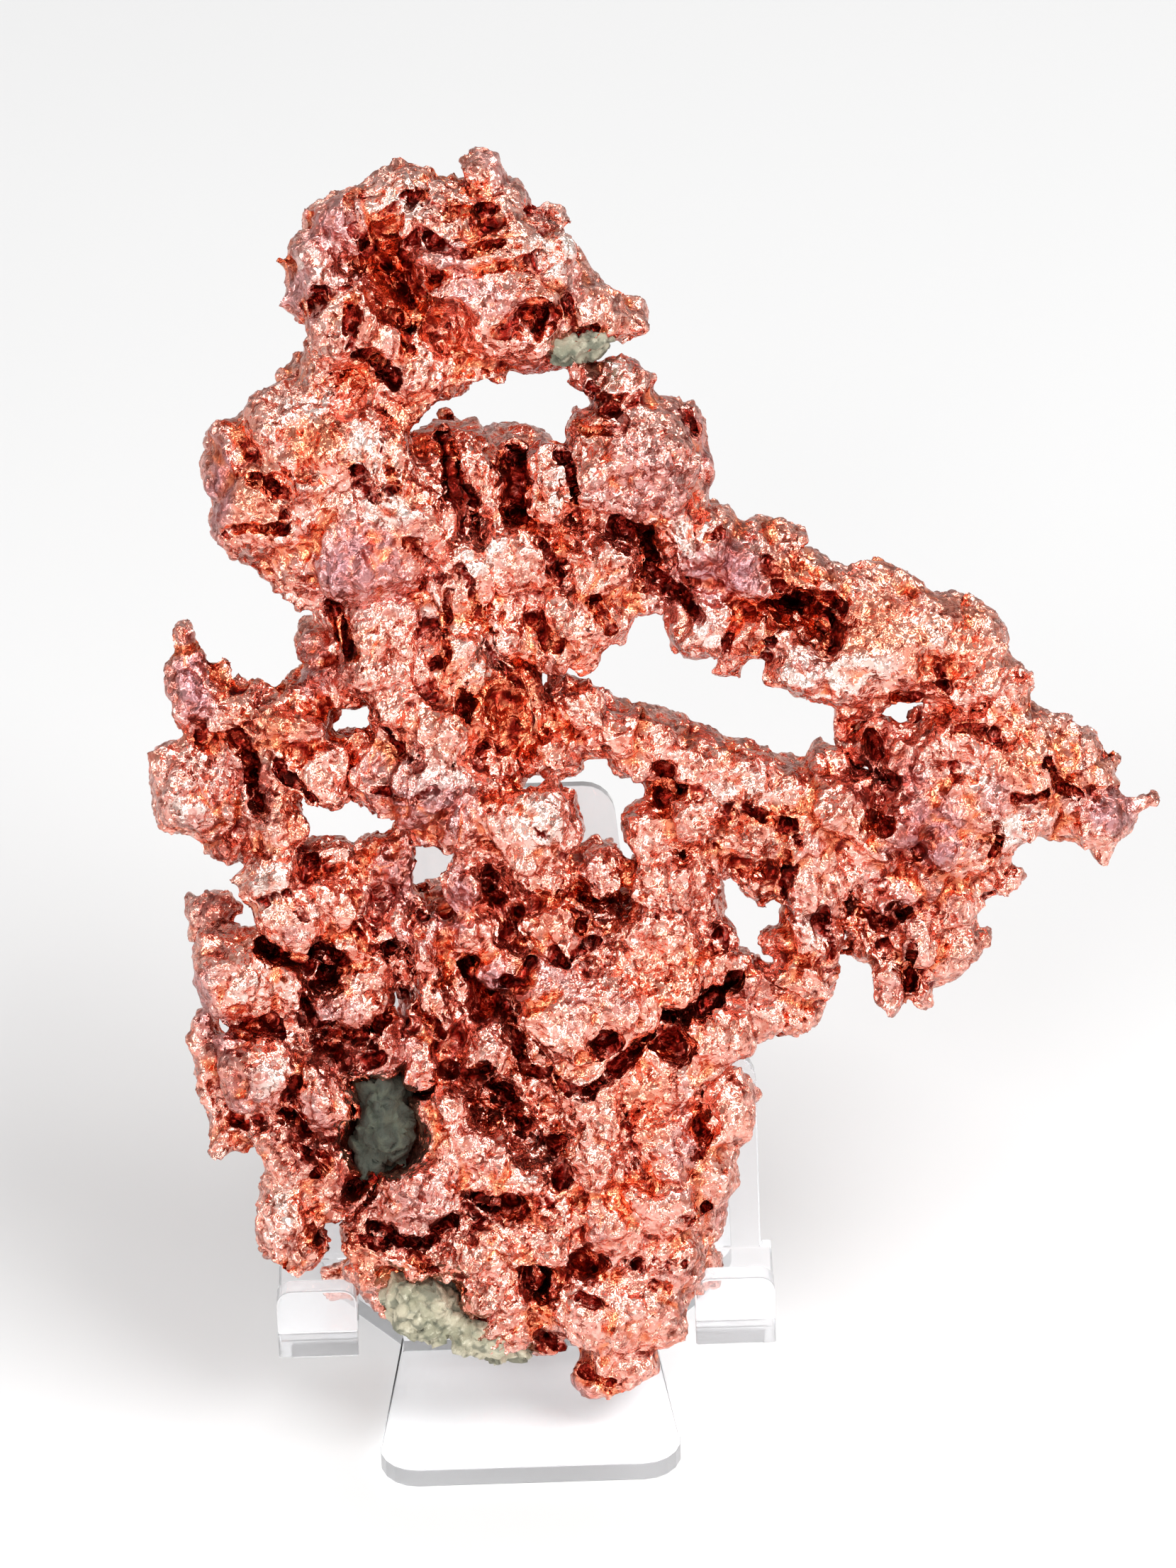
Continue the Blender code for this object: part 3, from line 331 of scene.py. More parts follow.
        (8.0, 15.6, 3, 7.4, 6.0, 7.5, 0),
        (15.0, 13.4, 3, 7.2, 5.8, 7, 0),
        (20.2, 14.8, 3, 2.4, 2.5, 3, 0),
        (13.2, 6.8, 0, 5.6, 4.8, 6, 20),
        (18.4, 10.2, 0, 3.8, 2.4, 4, 30),
        (10.4, 2.6, 0, 4.2, 3.0, 3.4, 15),
        (8.8, 4.8, 1, 1.6, 2.4, 2.4, -10),
        (-3.4, 11.6, 4, 4.4, 4.2, 4, 0),
        (1.6, 8.2, 1, 2.3, 2.2, 2.4, 0),
        (1.0, 13.0, 1, 6.2, 4.6, 6, 0),
        (0.0, 30.0, -5, 15, 9, 9, 0),
        (2.0, 40.0, -5, 10, 8, 8, 0),
        (-1.0, 18.0, -7, 17, 8, 7, 0),
        (-14.0, 35.0, -7, 7, 9, 7, 0),
        (24.4, 18.4, -6, 3.0, 3.0, 4.5, 0),
        (-26.2, 15.6, -6, 4.0, 3.0, 4.5, 0),
        (-21.6, 16.6, -2, 3.2, 5.0, 5, 0),
    ],
}

# Hollows pressed into the front: u, v, half width, half height, depth.
DENTS = [
    (-11.1, 153.1, 3.6, 3.4, 5.0),
    (0.0, 154.6, 3.2, 2.8, 4.5),
    (-19.2, 159.8, 4.2, 4.0, 4.0),
    (-35.1, 132.1, 2.2, 2.2, 3.0),
    (16.5, 120.2, 2.4, 4.0, 4.5),
    (36.0, 113.6, 4.8, 2.4, 5.0),
    (-3.5, 100.0, 2.2, 5.5, 4.0),
    (-6.9, 58.9, 2.2, 3.2, 4.0),
    (-4.6, 44.7, 2.6, 2.4, 4.0),
    (-1.6, 39.0, 2.6, 2.2, 3.5),
    (10.5, 53.6, 1.8, 1.8, 4.0),
    (19.6, 52.6, 3.6, 2.0, 4.0),
    (-0.3, 18.1, 2.2, 2.0, 3.5),
    (2.6, 9.9, 2.0, 1.6, 3.0),
    (8.4, 21.5, 2.4, 2.0, 3.5),
    (-19.4, 39.6, 3.4, 5.8, 8.0),
]

# Half width of the seams between lumps in mm, and the factor on the clefts' listed widths.
SEAM_WIDTH = 0.6
CLEFT_WIDTH = 0.52
# The plates are drawn out along the specimen's height by the reverse of this.
PLATE_STRETCH = (1.0, 0.62, 1.0)
# Sizes of the crumpled plates, in mm.
WIDE_PLATE = 4.6
MID_PLATE = 2.2
FINE_PLATE = 1.25
# Dark clefts in the front: width and depth in mm, and u, v at the points along each cleft.
CLEFTS = [
    # crown
    (1.3, 3.0, [(-22, 164), (-21, 160.5), (-19.5, 158), (-17, 155.5)]),
    (1.1, 2.6, [(-17.5, 162), (-16, 158), (-12.5, 156)]),
    (0.9, 2.2, [(-17.5, 162), (-14.5, 166), (-12, 165), (-8.5, 164), (-5.5, 165.6)]),
    (0.8, 1.8, [(-19.5, 168), (-17.5, 170.8), (-12, 170), (-6, 169.4)]),
    (1.0, 3.0, [(-24, 150.5), (-21.5, 149.5), (-18.8, 146.6)]),
    (1.0, 2.6, [(-4.5, 152.5), (-1.8, 155.5), (0.8, 154.5), (0.6, 151.5)]),
    (0.8, 2.2, [(4.5, 156.5), (5.5, 153), (8.8, 152.8)]),
    (0.8, 2.0, [(-31.8, 155), (-30, 156.6), (-29.2, 158)]),
    (0.8, 1.6, [(-25.5, 173.5), (-23.6, 168.5), (-22.4, 165)]),
    (0.7, 1.4, [(-30, 158.5), (-26, 160), (-25, 156), (-25.3, 152)]),
    (0.8, 1.8, [(-20, 155.5), (-17, 153), (-16.8, 150.5)]),
    # upper trunk
    (1.2, 3.4, [(-12, 139), (-11.8, 135), (-10.3, 131), (-8.4, 128.5), (-9.7, 124.5)]),
    (0.8, 3.2, [(-2.3, 135), (-2.5, 131), (-2.2, 127.5), (-3.8, 126.4)]),
    (0.9, 3.2, [(4, 135.6), (5.3, 133), (6.6, 130), (7.4, 128.3)]),
    (0.9, 2.0, [(-41.5, 124.2), (-38, 125), (-34.5, 126.4)]),
    (0.8, 2.4, [(-39, 133.6), (-37, 133), (-35, 131), (-34.6, 128)]),
    (1.0, 4.0, [(-26.9, 114.5), (-26.2, 111.5), (-25.6, 108.5)]),
    (0.7, 1.6, [(-16.5, 124), (-14.8, 121), (-13, 119.3)]),
    (0.6, 1.8, [(-11.6, 117), (-11.7, 113), (-11.2, 109), (-13.2, 107.6)]),
    (0.6, 1.5, [(-9.6, 120.5), (-8, 116), (-6, 111.5), (-4.4, 107.5), (-2.5, 103.6)]),
    (0.7, 1.6, [(0, 124.4), (1.8, 122), (4.2, 119.3)]),
    (0.9, 2.2, [(0.6, 112.5), (1.6, 109.8), (3.6, 110)]),
    (0.6, 1.2, [(-28, 140.5), (-26, 138), (-25.5, 134), (-25, 131)]),
    (0.6, 1.2, [(-20.5, 143), (-20.5, 138), (-19.3, 134), (-19, 131.5)]),
    (0.7, 1.5, [(-24.5, 131), (-21.8, 130), (-18.6, 131.6)]),
    # shoulder and right arm
    (0.9, 2.6, [(8.2, 145), (10.2, 143), (12.6, 140.3)]),
    (1.2, 3.4, [(11.5, 124.6), (14.2, 123.4), (16.4, 120), (19, 116.6), (22.6, 114.2)]),
    (0.9, 2.4, [(9.4, 116.6), (10.4, 114.4), (11.8, 112.4)]),
    (1.0, 2.6, [(33.6, 117.2), (36, 115.6), (38.8, 114.8), (43.4, 114.4)]),
    (1.2, 3.4, [(33, 112.4), (35.5, 113.4), (39, 113), (42.4, 112.6), (43, 110)]),
    (0.7, 1.6, [(33.4, 121.4), (34.4, 118.4)]),
    (0.6, 1.4, [(27.2, 111.5), (27.5, 108.2)]),
    (0.7, 1.6, [(31.6, 108.6), (34, 109.6), (33.4, 106.4)]),
    (0.8, 1.8, [(21.8, 140.6), (23.4, 138)]),
    (0.6, 1.3, [(5.5, 139.6), (9, 139.8), (12.6, 139.2)]),
    (0.8, 2.0, [(24.6, 124.6), (27.8, 124.6)]),
    (0.8, 1.8, [(57.2, 107), (58.6, 104)]),
    # left branch and left body
    (1.3, 3.4, [(-41, 95), (-39.2, 92.5), (-38, 90), (-38.6, 87)]),
    (0.8, 2.0, [(-35.4, 93.2), (-33.6, 91), (-31, 88)]),
    (0.7, 2.0, [(-20.2, 97.2), (-17.4, 95), (-15, 94.2)]),
    (0.6, 1.4, [(-22, 89.8), (-17.5, 89.4), (-13, 90.4)]),
    (1.3, 4.0, [(-38.8, 66), (-35.2, 64.4), (-31, 64.2), (-27.4, 65)]),
    (1.6, 3.6, [(-31, 63.6), (-30, 61.4)]),
    (0.7, 1.8, [(-24.6, 70), (-23.2, 67), (-20.6, 65.2), (-18.4, 65.4)]),
    (0.6, 1.3, [(-25.4, 74.6), (-24.4, 71), (-21.8, 68.4)]),
    (0.5, 1.0, [(-37.6, 73.6), (-34.8, 73.6)]),
    (0.5, 1.0, [(-33.8, 74.4), (-31.4, 71.2)]),
    (0.8, 2.0, [(-16.4, 73), (-14.6, 71.4), (-15.2, 68.6)]),
    (0.9, 3.0, [(-44, 55.6), (-38, 55.8), (-34.6, 54.2)]),
    (0.9, 2.8, [(-33, 60), (-32, 56.4), (-30, 54.8), (-26, 54), (-22, 55.4), (-19, 57)]),
    (0.8, 2.0, [(-33.8, 47.8), (-34.6, 45), (-33, 42)]),
    (1.2, 3.2, [(-29, 52), (-25, 51), (-22, 51)]),
    (0.8, 2.4, [(-33, 37.5), (-28.6, 36), (-30, 33)]),
    (0.8, 2.0, [(-30.4, 26.8), (-29.6, 22.4)]),
    # middle
    (0.6, 1.4, [(1, 84), (3, 81), (4.4, 78.6)]),
    (1.0, 2.6, [(18, 92), (19.5, 89.8), (21.5, 89)]),
    (0.7, 1.8, [(29.8, 86), (33, 84.4), (36, 83.4), (36.8, 81.6)]),
    (0.8, 2.2, [(35.6, 80), (36, 77), (36, 73.4)]),
    (0.8, 2.4, [(5.2, 73), (7.6, 71.2), (7.2, 69.4)]),
    (1.0, 2.8, [(2.4, 66.4), (4.4, 64.8), (7, 65.6), (9.2, 67.4)]),
    (0.8, 2.4, [(-5.6, 75.8), (-4.6, 72.4), (-3, 69), (-2.4, 66.4)]),
    (1.4, 4.0, [(-8.8, 64), (-8.4, 61), (-6, 58.4), (-3.6, 57.4)]),
    (1.2, 3.4, [(-3.4, 60.8), (-1.2, 62.4), (-0.2, 64.6)]),
    (0.9, 2.6, [(-3, 57), (-1.8, 53), (-1, 49.6), (1.4, 48.2), (5, 47.6), (8, 47.2)]),
    (1.2, 4.0, [(8, 47.4), (11.6, 50.4), (15.6, 53.4), (20, 55.8), (24.6, 58), (29.4, 61)]),
    (1.0, 2.2, [(9.4, 53.6), (11, 54)]),
    (0.6, 1.4, [(6.6, 51.4), (9.4, 52.2)]),
    (1.3, 3.8, [(-13.4, 47.8), (-9, 49.4), (-6.8, 49.8)]),
    (1.4, 4.0, [(-5.4, 46.4), (-3.4, 44.4), (-1.8, 39.4)]),
    (1.0, 3.0, [(-16.8, 56.8), (-14, 55.6), (-12.6, 55)]),
    (0.9, 2.6, [(-20.6, 56), (-22.5, 53.5), (-23.6, 49.5)]),
    (1.6, 4.0, [(-23, 47), (-23.8, 40), (-24.6, 34), (-25.4, 31)]),
    # base
    (1.0, 3.4, [(-22, 27), (-18, 25), (-14.4, 25.6), (-11, 28.6)]),
    (0.9, 2.8, [(-9, 30.6), (-6.4, 29), (-7.4, 25.4)]),
    (0.7, 2.0, [(-9, 32.8), (-5, 30.4), (0, 28.6), (3.8, 28.2)]),
    (0.8, 2.2, [(0.6, 38), (2.6, 37), (4.6, 37.4)]),
    (0.8, 2.2, [(-25, 25.4), (-20, 24.8), (-16, 23), (-14.6, 20.6)]),
    (0.9, 2.6, [(23.4, 41.2), (24.4, 39), (24, 37.6)]),
    (0.5, 1.2, [(12.2, 45), (13.6, 41), (14.4, 37), (16, 34)]),
    (0.5, 1.2, [(19, 50), (19.6, 47)]),
    (0.6, 1.8, [(20.6, 29.6), (22.6, 27.6), (24.4, 29)]),
    (0.7, 2.2, [(7.6, 24), (7.2, 21)]),
    (0.6, 1.6, [(12.6, 22.6), (14, 21.8), (15.6, 20.6)]),
    (0.5, 1.2, [(18, 22), (20.4, 21), (22, 21.4)]),
    (0.5, 1.2, [(17.6, 18.4), (20.4, 16.8)]),
    (1.1, 3.0, [(-1.2, 20.4), (0.6, 17.4)]),
    (0.8, 2.4, [(7.4, 18.2), (9, 17.4), (10.8, 17)]),
    (0.8, 2.4, [(1.8, 10.6), (3.8, 8.8)]),
    (0.6, 1.4, [(7.2, 5.2), (9, 4.4), (12, 3.2)]),
    # right wing
    (1.1, 3.0, [(51, 100.6), (53.6, 101)]),
    (1.2, 2.8, [(47, 96), (48.6, 93), (49.6, 89.4), (49, 86)]),
    (1.2, 2.8, [(48, 84.4), (50.4, 84)]),
    (0.8, 2.2, [(65.4, 84.4), (66, 82), (65.6, 80)]),
    (0.8, 2.2, [(67.6, 88.6), (70, 87.6), (72, 88.4)]),
    (0.8, 2.2, [(73.4, 93.4), (75.6, 89.6), (76.8, 87)]),
    (0.8, 2.2, [(55, 97.4), (59, 97.4), (62, 97), (65.6, 95.4)]),
    (1.2, 3.4, [(50.6, 72), (52.4, 70.4), (54, 71)]),
    (1.0, 2.6, [(41, 71.4), (41.4, 68), (41.6, 65)]),
    (0.9, 2.2, [(54.4, 67), (54, 62), (53.6, 60)]),
]

# Patches of each colour on the front: u, v, half width, half height, in mm, and strength. The bright
# patches are painted highlights and the dark patches painted shade.
MAUVE = [
    (-24, 121.5, 8, 7, 1.0),
    (-44, 131, 2.6, 8, 1.0),
    (-28, 168, 6, 5, 0.8),
    (-33, 158, 3.4, 7, 0.7),
    (27, 120, 8, 4.5, 1.0),
    (-47, 103, 3.6, 7, 1.0),
    (-15, 87, 9, 6, 0.8),
    (-19, 77, 4.4, 5.4, 0.8),
    (-10.8, 73, 2.6, 5.4, 0.9),
    (-5, 62, 3.4, 4.4, 0.9),
    (57, 82, 6, 6, 1.0),
    (65, 88, 3, 4, 0.6),
    (-28, 58, 5, 3.6, 0.6),
    (81, 84.5, 4.4, 2.4, 0.9),
    (15.5, 132, 8, 9, 0.5),
    (-17, 31, 7, 6, 0.4),
    (-46, 88, 6, 6, 0.4),
]
WARM = [
    (-19.5, 160, 3.0, 5.0, 1.0),
    (-24, 146.5, 3, 2.4, 0.9),
    (-29.8, 138, 4, 3.4, 0.9),
    (-16, 141, 5, 5, 0.7),
    (-4, 103, 6, 5, 1.0),
    (-2, 97.5, 4, 4.4, 1.0),
    (-11, 108, 2.4, 4, 0.8),
    (48, 112, 6, 4.4, 0.7),
    (57, 109, 7, 6, 0.7),
    (36, 118.4, 3, 3.4, 0.9),
    (-36, 98, 5, 3, 0.8),
    (20, 62, 6, 6, 0.5),
    (16, 45, 5, 6, 0.6),
    (33, 84.6, 5, 1.6, 1.0),
    (3, 70, 3.4, 4.4, 0.5),
    (-24, 22.5, 3.4, 5, 0.6),
    (69, 93, 4, 4, 0.6),
    (-34, 86, 2.4, 6, 0.6),
    (-38, 131, 4, 6, 0.6),
]
# Painted highlights: patches turned near white on the brightest facets.
HIGHLIGHT_PATCHES = [
    (-18, 171, 5, 2.4, 0.9),
    (3, 164, 3.6, 3.4, 1.0),
    (-31, 161.5, 2.4, 2.4, 0.8),
    (-22.5, 135, 2.6, 5.4, 1.0),
    (-20, 129, 4, 2, 0.9),
    (-7, 123, 3, 3, 0.9),
    (-14, 115, 2.4, 2.4, 0.8),
    (-7, 108, 3, 3.4, 0.8),
    (-31, 143, 4, 3, 0.9),
    (12, 146.6, 3, 2.6, 0.9),
    (4, 131, 2, 5, 0.9),
    (22, 124, 4, 3, 0.8),
    (23, 110, 3.4, 3.4, 0.8),
    (42, 105.4, 8, 3.4, 0.9),
    (56, 111, 4, 3, 0.5),
    (62, 91, 2.4, 2, 0.8),
    (70, 84, 4, 3, 0.9),
    (40, 68, 2.4, 3.4, 0.6),
    (2, 84, 4.4, 4.4, 0.7),
    (30, 88, 6, 3, 0.5),
    (-37, 76, 4, 4, 0.7),
    (-38, 61, 4, 3, 0.7),
    (-37.4, 48.6, 3, 3, 0.8),
    (-34.6, 28, 3, 3.4, 0.8),
    (0, 36, 3, 2.4, 0.7),
    (-48, 87.4, 4, 3.4, 0.8),
    (-12, 92, 4, 3, 0.4),
]
# Painted shade: patches coloured dark red like the hollows.
SHADE_PATCHES = [
    (-28.4, 107, 5, 4, 1.0),
    (49, 92, 5, 7, 1.0),
    (54, 88, 4, 7, 0.6),
    (58, 72, 4, 4, 0.7),
    (-26, 51.5, 4, 2.4, 0.9),
    (-30, 38, 7, 4, 0.9),
    (-44, 80, 3, 3.4, 0.8),
    (-45, 71, 5, 4, 0.9),
    (-43, 50, 4, 7, 0.6),
    (-38.5, 90, 3, 6, 0.9),
    (52, 69, 3.4, 3.4, 0.9),
    (31, 60.5, 4, 2.6, 0.8),
    (42, 68, 2.2, 6, 0.7),
    (2, 104.5, 3.4, 3.4, 0.7),
    (16.6, 89, 4, 2.2, 0.9),
    (-1, 60.6, 2.4, 2.4, 0.9),
    (-8, 48, 3.4, 2.4, 0.8),
    (-26, 33, 3, 8, 0.9),
    (9, 69, 2.4, 3.4, 0.7),
    (-31, 63, 4, 2.6, 1.0),
    (39, 113.4, 5, 2, 0.7),
    (22, 28.5, 3, 2, 0.6),
]

# Where the copper grew in small round nodules: u, v, radius in mm, and how thickly, 0 to 1.
NODULE_ZONES = [
    (-35.0, 116.5, 8, 0.9),
    (6.0, 155.5, 10, 1.0),
    (-5.0, 146.0, 7, 0.8),
    (28.0, 107.0, 7, 0.7),
    (14.0, 108.0, 7, 1.0),
    (60.0, 92.0, 13, 1.0),
    (75.0, 92.0, 12, 0.9),
    (63.0, 74.0, 13, 1.0),
    (55.0, 63.0, 10, 1.0),
    (38.0, 60.0, 9, 1.0),
    (25.0, 66.0, 6, 0.9),
    (0.0, 68.0, 8, 0.8),
    (-43.0, 46.0, 9, 1.0),
    (-31.0, 35.0, 8, 1.0),
    (-44.0, 68.5, 6, 1.0),
    (-39.0, 102.0, 5, 0.8),
    (14.0, 12.0, 13, 1.0),
    (-24.0, 20.0, 7, 0.8),
    (25.0, 32.0, 9, 0.7),
    (6.0, 88.0, 6, 0.6),
]
# Least half size of a lump that carries knobs, in mm.
KNOB_LEAST_LUMP = 3.4
NODULE_FLOOR = 0.12
NODULE_RADIUS = (0.65, 2.0)
NODULES_PER_SQUARE_CM = 10.0

# Lumps of each piece of host rock, listed like the copper's.
ROCKS = {
    "host_rock": [
        (-21.2, 41.0, -1.4, 4.0, 7.0, 6.5, 10),
        (-23.4, 34.0, -1, 2.6, 4.4, 5, 10),
        (-17.0, 30.0, -4, 5.4, 8.0, 6, 0),
        (-15.0, 20.0, -3, 6.0, 7.0, 6, 0),
        (-15.2, 14.2, 3, 5.2, 4.2, 6, -20),
        (-18.0, 16.8, 3.4, 3.6, 2.6, 5, -35),
        (-7.2, 10.4, 2.6, 4.6, 3.2, 6, -12),
        (-3.6, 7.8, 1, 3.4, 1.9, 4, 10),
    ],
    "crown_rock": [
        (4.6, 149.6, 2, 3.4, 2.4, 5, 4),
        (7.6, 150.2, 2, 2.8, 2.0, 4.6, 8),
    ],
}


class CopperSettings(bpy.types.PropertyGroup):
    """Sizes and colours of the copper."""

    voxel: bpy.props.FloatProperty(
        name="Grain of the mesh", description="Voxel size in mm", default=0.42, min=0.3
    )
    crumple: bpy.props.FloatProperty(
        name="Crumple", description="Height of the tilted facets in mm", default=0.7
    )
    crease: bpy.props.FloatProperty(
        name="Crease", description="Depth of the clefts between bumps in mm", default=0.45
    )
    warp: bpy.props.FloatProperty(
        name="Warp", description="How far the lumps are pushed out of round, in mm", default=1.1
    )
    inset: bpy.props.FloatProperty(
        name="Inset", description="How far the skin is drawn in, in mm", default=0.55
    )
    seam: bpy.props.FloatProperty(
        name="Seam", description="Depth of the seams between lumps in mm", default=0.5
    )
    cleft: bpy.props.FloatProperty(
        name="Cleft", description="Share of the listed depth of the clefts", default=0.85
    )
    salmon: bpy.props.FloatVectorProperty(
        name="Clean copper", description="Colour of the bright metal",
        subtype="COLOR", default=(0.90, 0.37, 0.295)
    )
    pale: bpy.props.FloatVectorProperty(
        name="Pale copper", description="Colour of the palest metal",
        subtype="COLOR", default=(1.0, 0.60, 0.50)
    )
    mauve: bpy.props.FloatVectorProperty(
        name="Dulled copper", description="Colour of the smooth dull patches",
        subtype="COLOR", default=(0.46, 0.21, 0.235)
    )
    # Besides the warm patches, this colour paints a bounce glow of light in the middling hollows.
    orange: bpy.props.FloatVectorProperty(
        name="Fresh copper", description="Colour of the warm patches",
        subtype="COLOR", default=(0.90, 0.24, 0.10)
    )
    # Painted shade: the dark red that the hollows, seams and clefts are coloured with.
    hollow: bpy.props.FloatVectorProperty(
        name="Hollows", description="Colour deep in the hollows",
        subtype="COLOR", default=(0.25, 0.012, 0.007)
    )


class RockSettings(bpy.types.PropertyGroup):
    """Colours of the host rock."""

    pale: bpy.props.FloatVectorProperty(
        name="Pale rock", description="Colour of the weathered rock",
        subtype="COLOR", default=(0.54, 0.49, 0.36)
    )
    # Painted shade: the colour the rock takes where it lies behind and under the copper.
    dark: bpy.props.FloatVectorProperty(
        name="Dark rock", description="Colour of the green-grey rock",
        subtype="COLOR", default=(0.050, 0.056, 0.042)
    )


class EaselSettings(bpy.types.PropertyGroup):
    """Finish of the clear easel."""

    edge: bpy.props.FloatProperty(
        name="Edge rounding", description="Width of the rounded edges", default=0.0005, unit="LENGTH"
    )


class StageSettings(bpy.types.PropertyGroup):
    """Camera and lights."""

    pitch: bpy.props.FloatProperty(
        name="Pitch", description="Camera's downward angle in degrees", default=34.0
    )
    distance: bpy.props.FloatProperty(
        name="Distance", description="From the camera to the specimen", default=1.5, unit="LENGTH"
    )
    key: bpy.props.FloatProperty(
        name="Key light", description="Strength of the overhead light", default=1.0
    )


def plane_matrix():
    """Matrix that carries u, v, w in millimetres to the frame's metres."""
    spin = Matrix.Rotation(-math.radians(SIDE_ROLL), 4, "Z")
    about = Matrix.Translation((0.0, ROLL_CENTRE_V, 0.0))
    rolled = about @ spin @ about.inverted()
    upright = Matrix.Rotation(math.radians(90.0), 4, "X")
    lean = Matrix.Rotation(-math.radians(LEAN), 4, "X")
    return Matrix.Scale(MM, 4) @ Matrix.Translation(PLANE_FOOT) @ lean @ upright @ rolled


def hashed(cells, seed):
    """Repeatable random numbers, 0 to 1, three for each whole-number cell."""
    x, y, z = cells[..., 0], cells[..., 1], cells[..., 2]
    key = (x * 73856093) ^ (y * 19349663) ^ (z * 83492791) ^ (seed * 2654435761)
    values = []
    for _ in range(3):
        key = (key ^ (key >> 15)) * 2246822519 & 0xFFFFFFFF
        key = (key ^ (key >> 13)) * 3266489917 & 0xFFFFFFFF
        key = key ^ (key >> 16)
        values.append((key & 0xFFFFFF) / 16777216.0)
    return np.stack(values, axis=-1)


def smooth_noise(points, size, seed):
    """Value noise, -1 to 1: random numbers at grid corners, blended by a smooth S-curve."""
    scaled = points / size
    cell = np.floor(scaled).astype(np.int64)
    part = scaled - cell
    blend = part * part * (3.0 - 2.0 * part)
    total = np.zeros((len(points), 3))
    for corner in np.ndindex(2, 2, 2):
        corner = np.array(corner)
        weight = np.prod(np.where(corner == 1, blend, 1.0 - blend), axis=1)
        total += weight[:, None] * hashed(cell + corner, seed)
    return total * 2.0 - 1.0


def crumpled(points, size, seed):
    """Crumpled plates: space is split into cells round random seeds, each tilted its own way.

    Returns the tilt height, the dome height and the nearness to a cell border, per point.
    """
    scaled = points / size + 0.35 * smooth_noise(points, size * 0.8, seed + 7)
    cell = np.floor(scaled).astype(np.int64)
    first = np.full(len(points), 9.0)
    second = np.full(len(points), 9.0)
    tilt = np.zeros(len(points))
    for step in np.ndindex(3, 3, 3):
        other = cell + (np.array(step) - 1)
        draw = hashed(other, seed)
        offset = scaled - (other + draw)
        distance = np.sqrt((offset ** 2).sum(axis=1))
        lean = hashed(other, seed + 31) * 2.0 - 1.0
        closer = distance < first
        second = np.where(closer, first, np.minimum(second, distance))
        tilt = np.where(closer, (lean * offset).sum(axis=1), tilt)
        first = np.where(closer, distance, first)
    border = second - first
    return tilt, 0.5 - first, border


def wrinkles(points, size, seed):
    """Crossing wrinkles, -1 to 1: creases where warped noise passes through zero."""
    warped = points + 0.4 * size * smooth_noise(points, size * 1.3, seed + 3)
    noise = smooth_noise(warped, size, seed)
    return 1.0 - 3.0 * np.minimum(np.abs(noise[:, 0]), np.abs(noise[:, 1]) + 0.1)


def step_up(values, low, high):
    """Smooth S-curve from 0 at low to 1 at high."""
    t = np.clip((values - low) / (high - low), 0.0, 1.0)
    return t * t * (3.0 - 2.0 * t)


def block_grid(lumps, draw, rows, columns):
    """Rounded blocks as one mesh: a point at latitude a and longitude b of a unit ball is divided by
    its power-mean length in a tilted frame, which squares the ball, then stretched to the half sizes,
    rolled and moved to its place."""
    lumps = np.array(lumps, dtype=float)
    count = len(lumps)
    a = np.linspace(-math.pi / 2, math.pi / 2, rows)
    b = np.linspace(0.0, 2.0 * math.pi, columns, endpoint=False)
    a, b = np.meshgrid(a, b, indexing="ij")
    ball = np.stack([np.cos(a) * np.cos(b), np.cos(a) * np.sin(b), np.sin(a)], axis=-1).reshape(-1, 3)
    tilt = np.radians(draw.uniform(-25.0, 25.0, (count, 2)))
    power = draw.uniform(2.0, 3.4, (count, 1))
    x, y, z = ball[:, 0][None], ball[:, 1][None], ball[:, 2][None]
    sx, cx = np.sin(tilt[:, :1]), np.cos(tilt[:, :1])
    sy, cy = np.sin(tilt[:, 1:]), np.cos(tilt[:, 1:])
    y_turned, z_turned = cx * y - sx * z, sx * y + cx * z
    x_turned, z_turned = cy * x + sy * z_turned, cy * z_turned - sy * x
    norm = np.abs(x_turned) ** power + np.abs(y_turned) ** power + np.abs(z_turned) ** power
    norm = norm ** (1.0 / power)
    blocks = ball[None] / norm[..., None] * lumps[:, None, 3:6]
    roll = np.radians(lumps[:, 6])[:, None]
    across = blocks[..., 0] * np.cos(roll) - blocks[..., 1] * np.sin(roll)
    up = blocks[..., 0] * np.sin(roll) + blocks[..., 1] * np.cos(roll)
    points = np.stack([across, up, blocks[..., 2]], axis=-1) + lumps[:, None, 0:3]
    i, j = np.meshgrid(np.arange(rows - 1), np.arange(columns), indexing="ij")
    near, far = i * columns, (i + 1) * columns
    nxt = (j + 1) % columns
    quads = np.stack([near + j, near + nxt, far + nxt, far + j], axis=-1).reshape(-1, 4)
    quads = quads[None] + (np.arange(count) * rows * columns)[:, None, None]
    return points.reshape(-1, 3), quads.reshape(-1, 4)


def mesh_object(name, points, quads):
    """Link an object made from points and four-sided faces."""
    mesh = bpy.data.meshes.new(name)
    mesh.vertices.add(len(points))
    mesh.vertices.foreach_set("co", points.astype(np.float32).ravel())
    mesh.loops.add(quads.size)
    mesh.loops.foreach_set("vertex_index", quads.ravel().astype(np.int32))
    mesh.polygons.add(len(quads))
    mesh.polygons.foreach_set("loop_start", np.arange(0, quads.size, 4, dtype=np.int32))
    mesh.update(calc_edges=True)
    made = bpy.data.objects.new(name, mesh)
    bpy.context.scene.collection.objects.link(made)
    return made


def bake(made):
    """Turn an object's modifiers into plain mesh."""
    seen = made.evaluated_get(bpy.context.evaluated_depsgraph_get())
    baked = bpy.data.meshes.new_from_object(seen)
    old = made.data
    made.modifiers.clear()
    made.data = baked
    bpy.data.meshes.remove(old)


def read(mesh, what, count, kind=np.float32, width=3):
    """One array from a mesh."""
    flat = np.zeros(count * width, dtype=kind)
    what.foreach_get(*mesh, flat)
    return flat.reshape(-1, width) if width > 1 else flat


